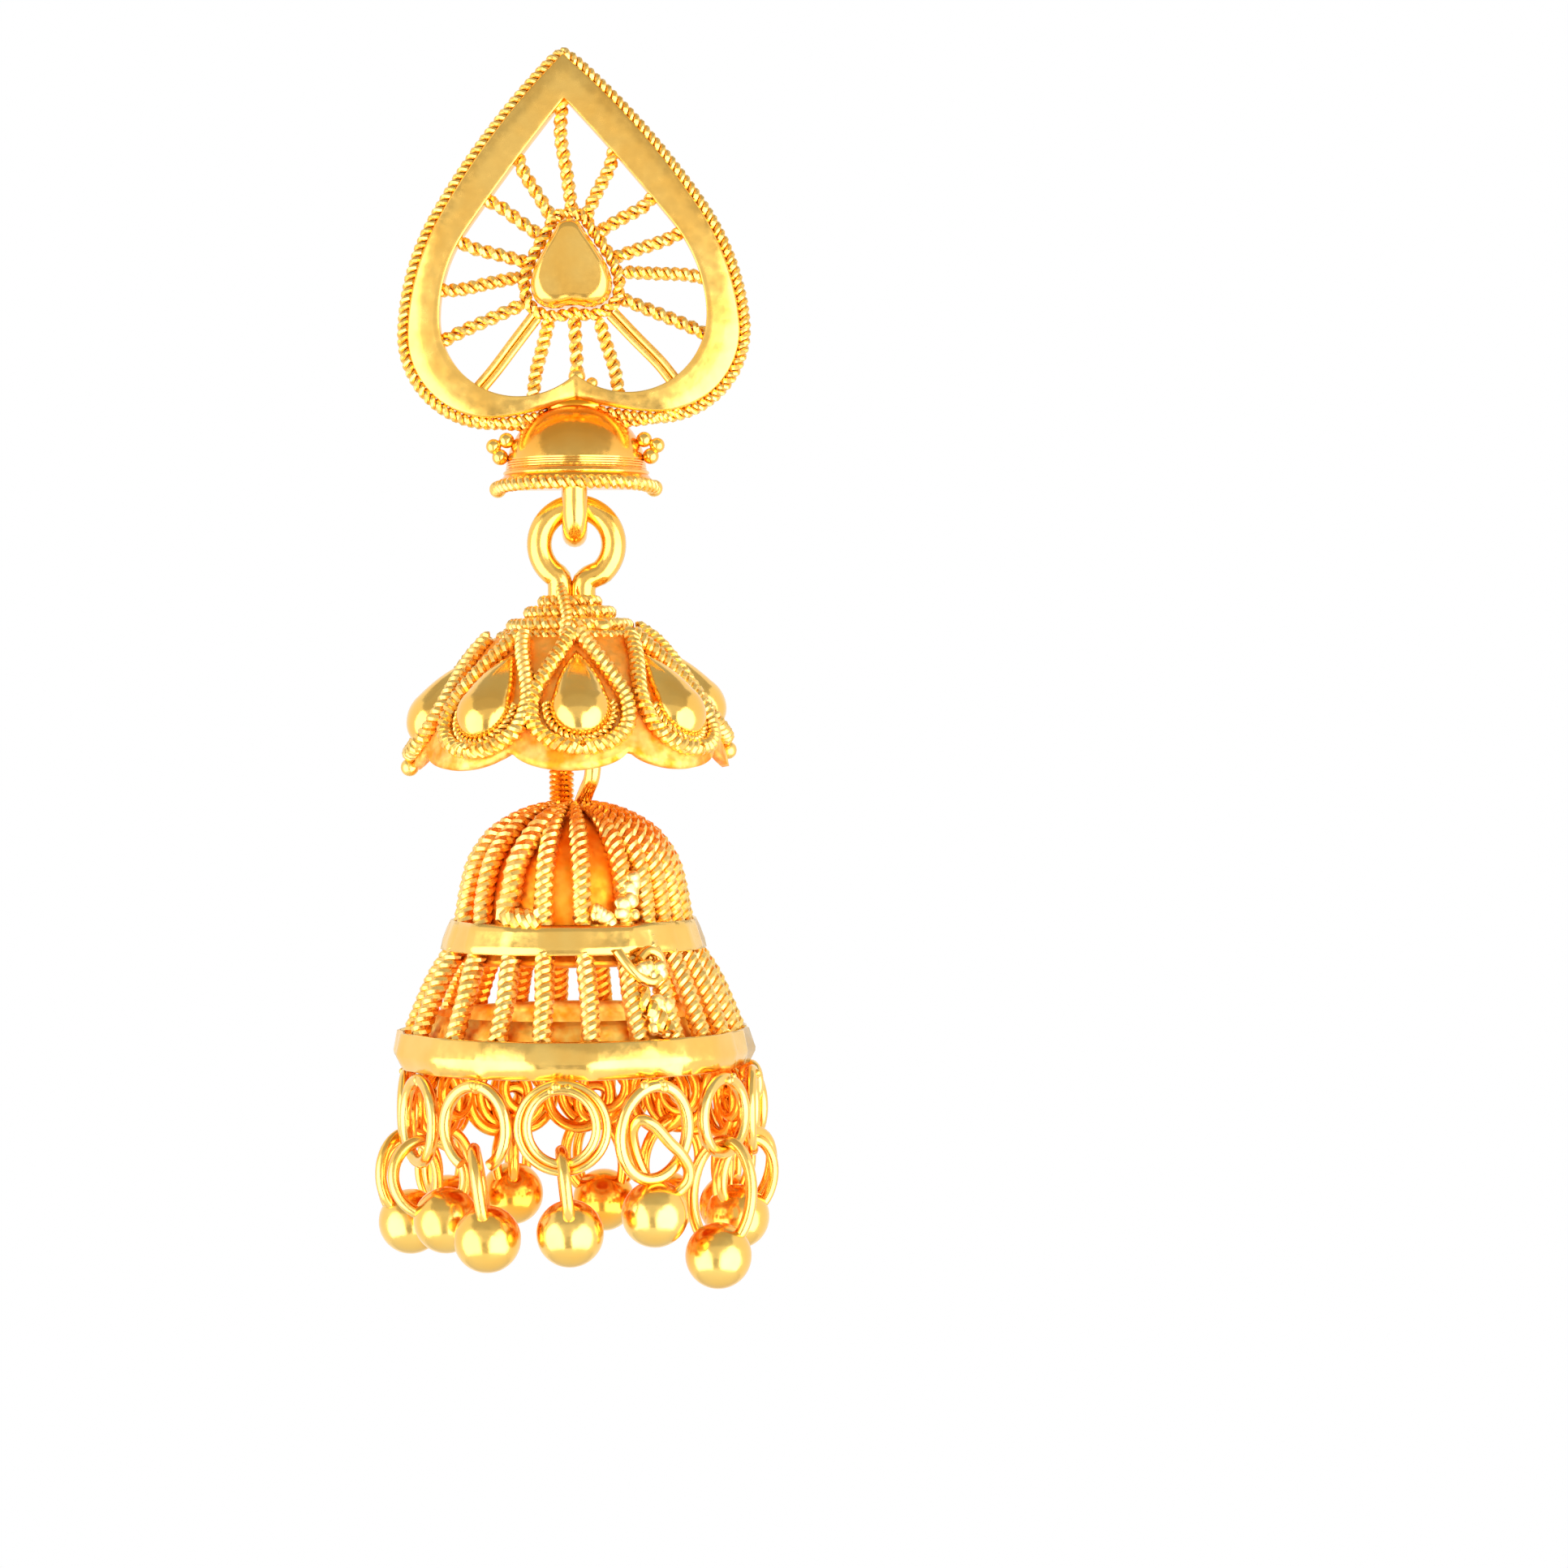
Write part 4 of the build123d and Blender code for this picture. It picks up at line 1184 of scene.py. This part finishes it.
# Hoops that differ from a plain one: half width and half height as shares of the plain
# radius, lean in degrees, and the opening at the foot in degrees.
ODD_HOOPS = {1: (0.98, 1.26, 12, 0), 3: (1.0, 1.1, -6, 0), 10: (1.0, 1.12, 4, 0),
             11: (1.02, 1.12, 0, 56)}
# Turns of wire: half width and half height as shares of the plain radius, how far to the right
# as seen from inside the bell, lower and outwards, share of the wire. The front hoop has two,
# and those at the back have further turns beside their own.
WOUND_TWICE = [(1.18, 1.16, 0.0, 0.12, -0.16, 0.8), (0.92, 0.98, 0.0, 0.05, 0.16, 0.72)]
DOUBLED = [(0.76, 0.798, 0.0, 0.30, -0.30, 0.9)]
COILED = [(0.92, 0.966, -0.80, 0.15, -0.32, 1.0), (0.92, 0.966, 0.80, 0.18, 0.30, 1.0),
          (0.50, 0.525, 0.00, 0.58, -0.15, 1.0), (0.66, 0.693, -0.42, -0.30, 0.22, 1.0),
          (0.62, 0.651, 0.48, -0.26, -0.40, 1.0), (0.28, 0.294, 0.05, 0.20, 0.10, 1.0),
          (0.44, 0.462, 1.95, -0.95, -0.10, 1.0)]
TURNS = {0: WOUND_TWICE, 3: DOUBLED, 4: COILED, 5: COILED, 6: COILED, 7: COILED, 8: COILED,
         9: DOUBLED}
# The solder over each hoop: how many grains, their radius, how far from the hoop's top they
# may lie outwards, to the sides, and up or down, and how much lower they all are.
SOLDER_GRAINS = 5
GRAIN_R = (0.15, 0.24)
GRAIN_SPREAD = (0.3, 0.55, 0.12)
GRAIN_LOWER = 0.02 * mm


def lay_hoop(mesh, centre, side, half_width, half_height, wire, lean=0, opening=0):
    """A hoop of round wire in an upright plane, round or oval, whole or open at its foot."""
    tilt = Matrix.Rotation(radians(lean), 3, side.cross(UP))
    ends = range(0, 360, 8) if not opening else range(opening // 2, 361 - opening // 2, 8)
    ring = [centre + tilt @ (side * half_width * sin(radians(a))
                             - UP * half_height * cos(radians(a))) for a in ends]
    lay_round(mesh, ring, side.cross(UP), wire, 14, closed=not opening)


# The hoops' sides turned into the bell carry the same painted shade as the ribs.
hoop_gold = gold("hoop_gold", WIRE_TONE, WIRE_SHADE, polish=0.18, grain=0.003 * mm,
                 grain_size=0.25, painted_shade=WIRE_PAINTED_SHADE)
solder = bmesh.new()
deal = random.Random(5)
station_places = []
for station in range(STATIONS):
    name = f"hoop_{station + 1:02d}"
    out = bearing(STATION_TURN + station * 360 / STATIONS)
    along = out.cross(UP)
    low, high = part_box(name)
    centre = (low + high) / 2
    station_places.append((out, along, centre))
    hoop = bmesh.new()
    if station > 0:
        wide, tall, lean, opening = ODD_HOOPS.get(station, (1, 1, 0, 0))
        lay_hoop(hoop, centre - UP * HOOP_R * (tall - 1), along, HOOP_R * wide, HOOP_R * tall,
                 HOOP_WIRE, lean, opening)
    for wide, tall, aside, lower, outwards, wire in TURNS.get(station, ()):
        middle = centre + (along * aside - UP * lower + out * outwards) * mm
        lay_hoop(hoop, middle, along, HOOP_R * wide, HOOP_R * tall, HOOP_WIRE * wire)
    piece(name, hoop, hoop_gold, "bell")
    for _ in range(SOLDER_GRAINS):
        outwards = deal.uniform(0, GRAIN_SPREAD[0])
        aside, higher = (deal.uniform(-far, far) for far in GRAIN_SPREAD[1:])
        spot = (centre + UP * (HOOP_R - GRAIN_LOWER)
                + (out * outwards + along * aside + UP * higher) * mm)
        add_bead(solder, spot, deal.uniform(*GRAIN_R) * mm, fine=2)
piece("hoop_solder", solder, rope_gold, "bell")

# ------------------------------------------------------------------ ball drops
# From each hoop hangs a ball on a wire loop. The ball is hollow and polished, and the loop
# is passed through its top. Each drop has swung to rest in its own way.

BALL_R = 1.5 * mm
BALL_BELOW_FOOT = 3.44 * mm
DROP_WIRE = 0.54 * mm
# How much higher a loop is than the way from its hoop's foot to the middle of its ball.
LOOP_SPARE = 0.2 * mm
# How each drop has come to rest: how far its ball hangs to the right, outwards and down from
# right under the hoop, its loop turned about its own line, in degrees, and the loop's half width.
DROP_REST = [
    # right, out, down, turned, half width
    (0.30, -0.12, -0.30, 8, 1.50), (0.15, -0.30, -1.00, 30, 1.50), (-0.60, 0.05, 1.15, 10, 1.45),
    (0.20, -0.75, 0.00, 12, 1.62), (-0.50, -0.45, -0.10, 55, 1.62), (0.80, 0.15, 0.25, -60, 1.62),
    (-0.32, 0.20, 0.22, 62, 1.62), (0.04, -0.10, -0.27, -58, 1.62), (-0.45, 0.10, 0.05, 60, 1.62),
    (0.18, -0.12, 0.15, 6, 1.62), (0.95, -0.90, -0.45, -12, 1.62), (0.75, 0.18, 0.00, 34, 1.50),
]
# The drops at the back hang on loops of two turns, which are splayed by an angle. The second
# turn lies closer over the hoop's foot, is narrower, and has thinner wire.
TWICE_WOUND = (3, 4, 5, 6, 7, 8, 9)
SPLAY = 38
SECOND_RISE = 0.4
SECOND_WIDTH = 0.8
SECOND_WIRE = 0.9
# One drop was hung on a loop that is bent out of shape: its way from inside the hoop, over the
# hoop's foot to the ball and back behind it, measured to the right, outwards and up.
BENT_STATION = 1
BENT_LOOP_STEP = 0.15 * mm
BENT_LOOP = [
    (-0.80, 0.25, 0.20), (-0.25, 0.48, -0.05), (0.45, 0.64, -0.85), (0.95, 0.68, -1.35),
    (1.42, 0.55, -2.07), (1.40, 0.35, -2.75), (0.85, 0.10, -3.30), (0.30, 0.00, -3.45),
    (0.00, -0.25, -2.95), (-0.35, -0.52, -2.20), (-0.75, -0.48, -1.20), (-1.00, -0.15, -0.30),
]

# Painted reflection: each ball's upper side, and its side turned to the hanging line, take a deeper
# orange, for the gold bell over it.
ball_gold = gold("ball_gold", (1.0, 0.65, 0.17), (1.0, 0.60, 0.13), polish=0.19,
                 grain=0.002 * mm, grain_size=0.3, dents=0.015 * mm, painted_shade=(1.0, 0.44, 0.05),
                 shade_upwards=0.8)
for station, (out, along, centre) in enumerate(station_places):
    right, outwards, down, turned, half_width = DROP_REST[station]
    foot = centre - UP * HOOP_R
    ball = foot - UP * BALL_BELOW_FOOT + (along * -right + out * outwards - UP * down) * mm
    line = ball - foot
    drop = bmesh.new()
    if station == BENT_STATION:
        bent = [centre + (along * -x + out * y + UP * z) * mm for x, y, z in BENT_LOOP]
        lay_round(drop, spaced(curved(bent, True), BENT_LOOP_STEP, True), out, DROP_WIRE, 14, True)
    else:
        half_height = (line.length + LOOP_SPARE) / 2
        lay_hoop(drop, foot + UP * (DROP_WIRE - half_height), out, half_width * mm, half_height,
                 DROP_WIRE)
        if station in TWICE_WOUND:
            bmesh.ops.rotate(drop, verts=drop.verts, cent=foot,
                             matrix=Matrix.Rotation(radians(SPLAY), 3, UP))
            lay_hoop(drop, foot + UP * (DROP_WIRE * SECOND_RISE - half_height), out,
                     half_width * SECOND_WIDTH * mm, half_height, DROP_WIRE * SECOND_WIRE)
        swing = (-UP).rotation_difference(line).to_matrix()
        bmesh.ops.rotate(drop, verts=drop.verts, cent=foot,
                         matrix=swing @ Matrix.Rotation(radians(turned), 3, UP))
    bmesh.ops.create_uvsphere(drop, u_segments=48, v_segments=32, radius=BALL_R,
                              matrix=Matrix.Translation(ball))
    piece(f"ball_drop_{station + 1:02d}", drop, ball_gold, "bell")

# ------------------------------------------------------------------ floor, light and camera
# The earring hangs above a pale floor, between two soft lamps that stand low on either side.
# Grey cards over it and in front of it show only in the polished metal, which would be white
# all over without them.

scene = bpy.context.scene
scene.view_settings.view_transform = "Standard"

FLOOR_Z = -125 * mm
FLOOR_R = 100 * mm
aim = Vector((0, hang.y, -22 * mm))


def plain_material(name, colour, shader_kind):
    """A material of one shader in one colour."""
    material = bpy.data.materials.new(name)
    material.use_nodes = True
    nodes, links = material.node_tree.nodes, material.node_tree.links
    nodes.clear()
    shader = nodes.new(shader_kind)
    shader.inputs["Color"].default_value = (*colour, 1)
    output = nodes.new("ShaderNodeOutputMaterial")
    links.new(shader.outputs[0], output.inputs["Surface"])
    return material


def staged(name, mesh, material):
    """Makes a mesh that isn't part of the earring an object on the stage."""
    data = bpy.data.meshes.new(name)
    mesh.to_mesh(data)
    mesh.free()
    data.materials.append(material)
    made = bpy.data.objects.new(name, data)
    scene.collection.objects.link(made)
    return made


def facing_aim(azimuth, elevation, distance):
    """The place at an azimuth and elevation from the earring, turned to face it."""
    out = bearing(azimuth) * cos(radians(elevation)) + UP * sin(radians(elevation))
    place = aim + out * distance * mm
    return Matrix.Translation(place) @ out.to_track_quat("Z", "Y").to_matrix().to_4x4()


disc = bmesh.new()
bmesh.ops.create_circle(disc, cap_ends=True, segments=96, radius=FLOOR_R,
                        matrix=Matrix.Translation((0, hang.y, FLOOR_Z)))
staged("floor", disc, plain_material("pale_floor", (0.88, 0.88, 0.88), "ShaderNodeBsdfDiffuse"))

LAMPS = [
    # name, azimuth, elevation, distance, width, height, radiance
    ("lamp_left", -54, -17, 170, 215, 340, 2.4),
    ("lamp_right", 46, -16, 170, 250, 340, 3.1),
]
for name, azimuth, elevation, distance, width, height, radiance in LAMPS:
    light = bpy.data.lights.new(name, "AREA")
    light.shape = "ELLIPSE"
    light.size, light.size_y = width * mm, height * mm
    light.energy = radiance * pi * light.size * light.size_y * pi / 4
    lamp = bpy.data.objects.new(name, light)
    lamp.matrix_world = facing_aim(azimuth, elevation, distance)
    scene.collection.objects.link(lamp)

CARDS = [
    # name, azimuth, elevation, distance, width, height, grey
    ("card_over", 0, 89, 165, 300, 260, 0.5),
    ("card_above", 0, 57, 165, 380, 150, 0.55),
    ("card_middle", 0, 24, 180, 420, 70, 0.8),
    ("card_front", -4, 14, 205, 98, 170, 0.76),
    ("card_low", -4, -30, 205, 82, 190, 0.5),
]
for name, azimuth, elevation, distance, width, height, grey in CARDS:
    sheet = bmesh.new()
    size = Matrix.Diagonal((width * mm, height * mm, 1, 1))
    bmesh.ops.create_grid(sheet, x_segments=1, y_segments=1, size=0.5,
                          matrix=facing_aim(azimuth, elevation, distance) @ size)
    card = staged(name, sheet, plain_material(name, (grey,) * 3, "ShaderNodeEmission"))
    card.visible_camera = False
    card.visible_shadow = False

# The world is white where the camera or the metal sees it, and dimmer as a light.
WORLD_LIGHT = 0.6
world = bpy.data.worlds.new("studio")
scene.world = world
world.use_nodes = True
nodes, links = world.node_tree.nodes, world.node_tree.links
seen = nodes["Background"]
seen.inputs["Color"].default_value = (1, 1, 1, 1)
seen.inputs["Strength"].default_value = 1.0
dim = nodes.new("ShaderNodeBackground")
dim.inputs["Color"].default_value = (1, 1, 1, 1)
dim.inputs["Strength"].default_value = WORLD_LIGHT
path = nodes.new("ShaderNodeLightPath")
share = 0
for ray in ("Is Camera Ray", "Is Glossy Ray", "Is Transmission Ray"):
    either = nodes.new("ShaderNodeMath")
    either.operation = "MAXIMUM"
    either.inputs[0].default_value = 0.0
    if share:
        links.new(share, either.inputs[0])
    links.new(path.outputs[ray], either.inputs[1])
    share = either.outputs["Value"]
mix = nodes.new("ShaderNodeMixShader")
links.new(share, mix.inputs["Fac"])
links.new(dim.outputs["Background"], mix.inputs[1])
links.new(seen.outputs["Background"], mix.inputs[2])
links.new(mix.outputs["Shader"], nodes["World Output"].inputs["Surface"])

# A long lens looks slightly down at the front. The earring is left of the view's middle.
CAMERA_PLACE = Vector((9.58, -182, -20)) * mm
CAMERA_TARGET = Vector((9.58, -1.9, -23.5)) * mm
CAMERA_ROLL = -0.45
camera_data = bpy.data.cameras.new("camera")
camera_data.lens = 89.4
camera_data.sensor_width = 36
camera_data.clip_start, camera_data.clip_end = 10 * mm, 2.0
camera = bpy.data.objects.new("camera", camera_data)
camera.location = CAMERA_PLACE
camera.rotation_mode = "QUATERNION"
look = (CAMERA_TARGET - CAMERA_PLACE).to_track_quat("-Z", "Y")
camera.rotation_quaternion = look @ Matrix.Rotation(radians(CAMERA_ROLL), 3, "Z").to_quaternion()
scene.collection.objects.link(camera)
scene.camera = camera
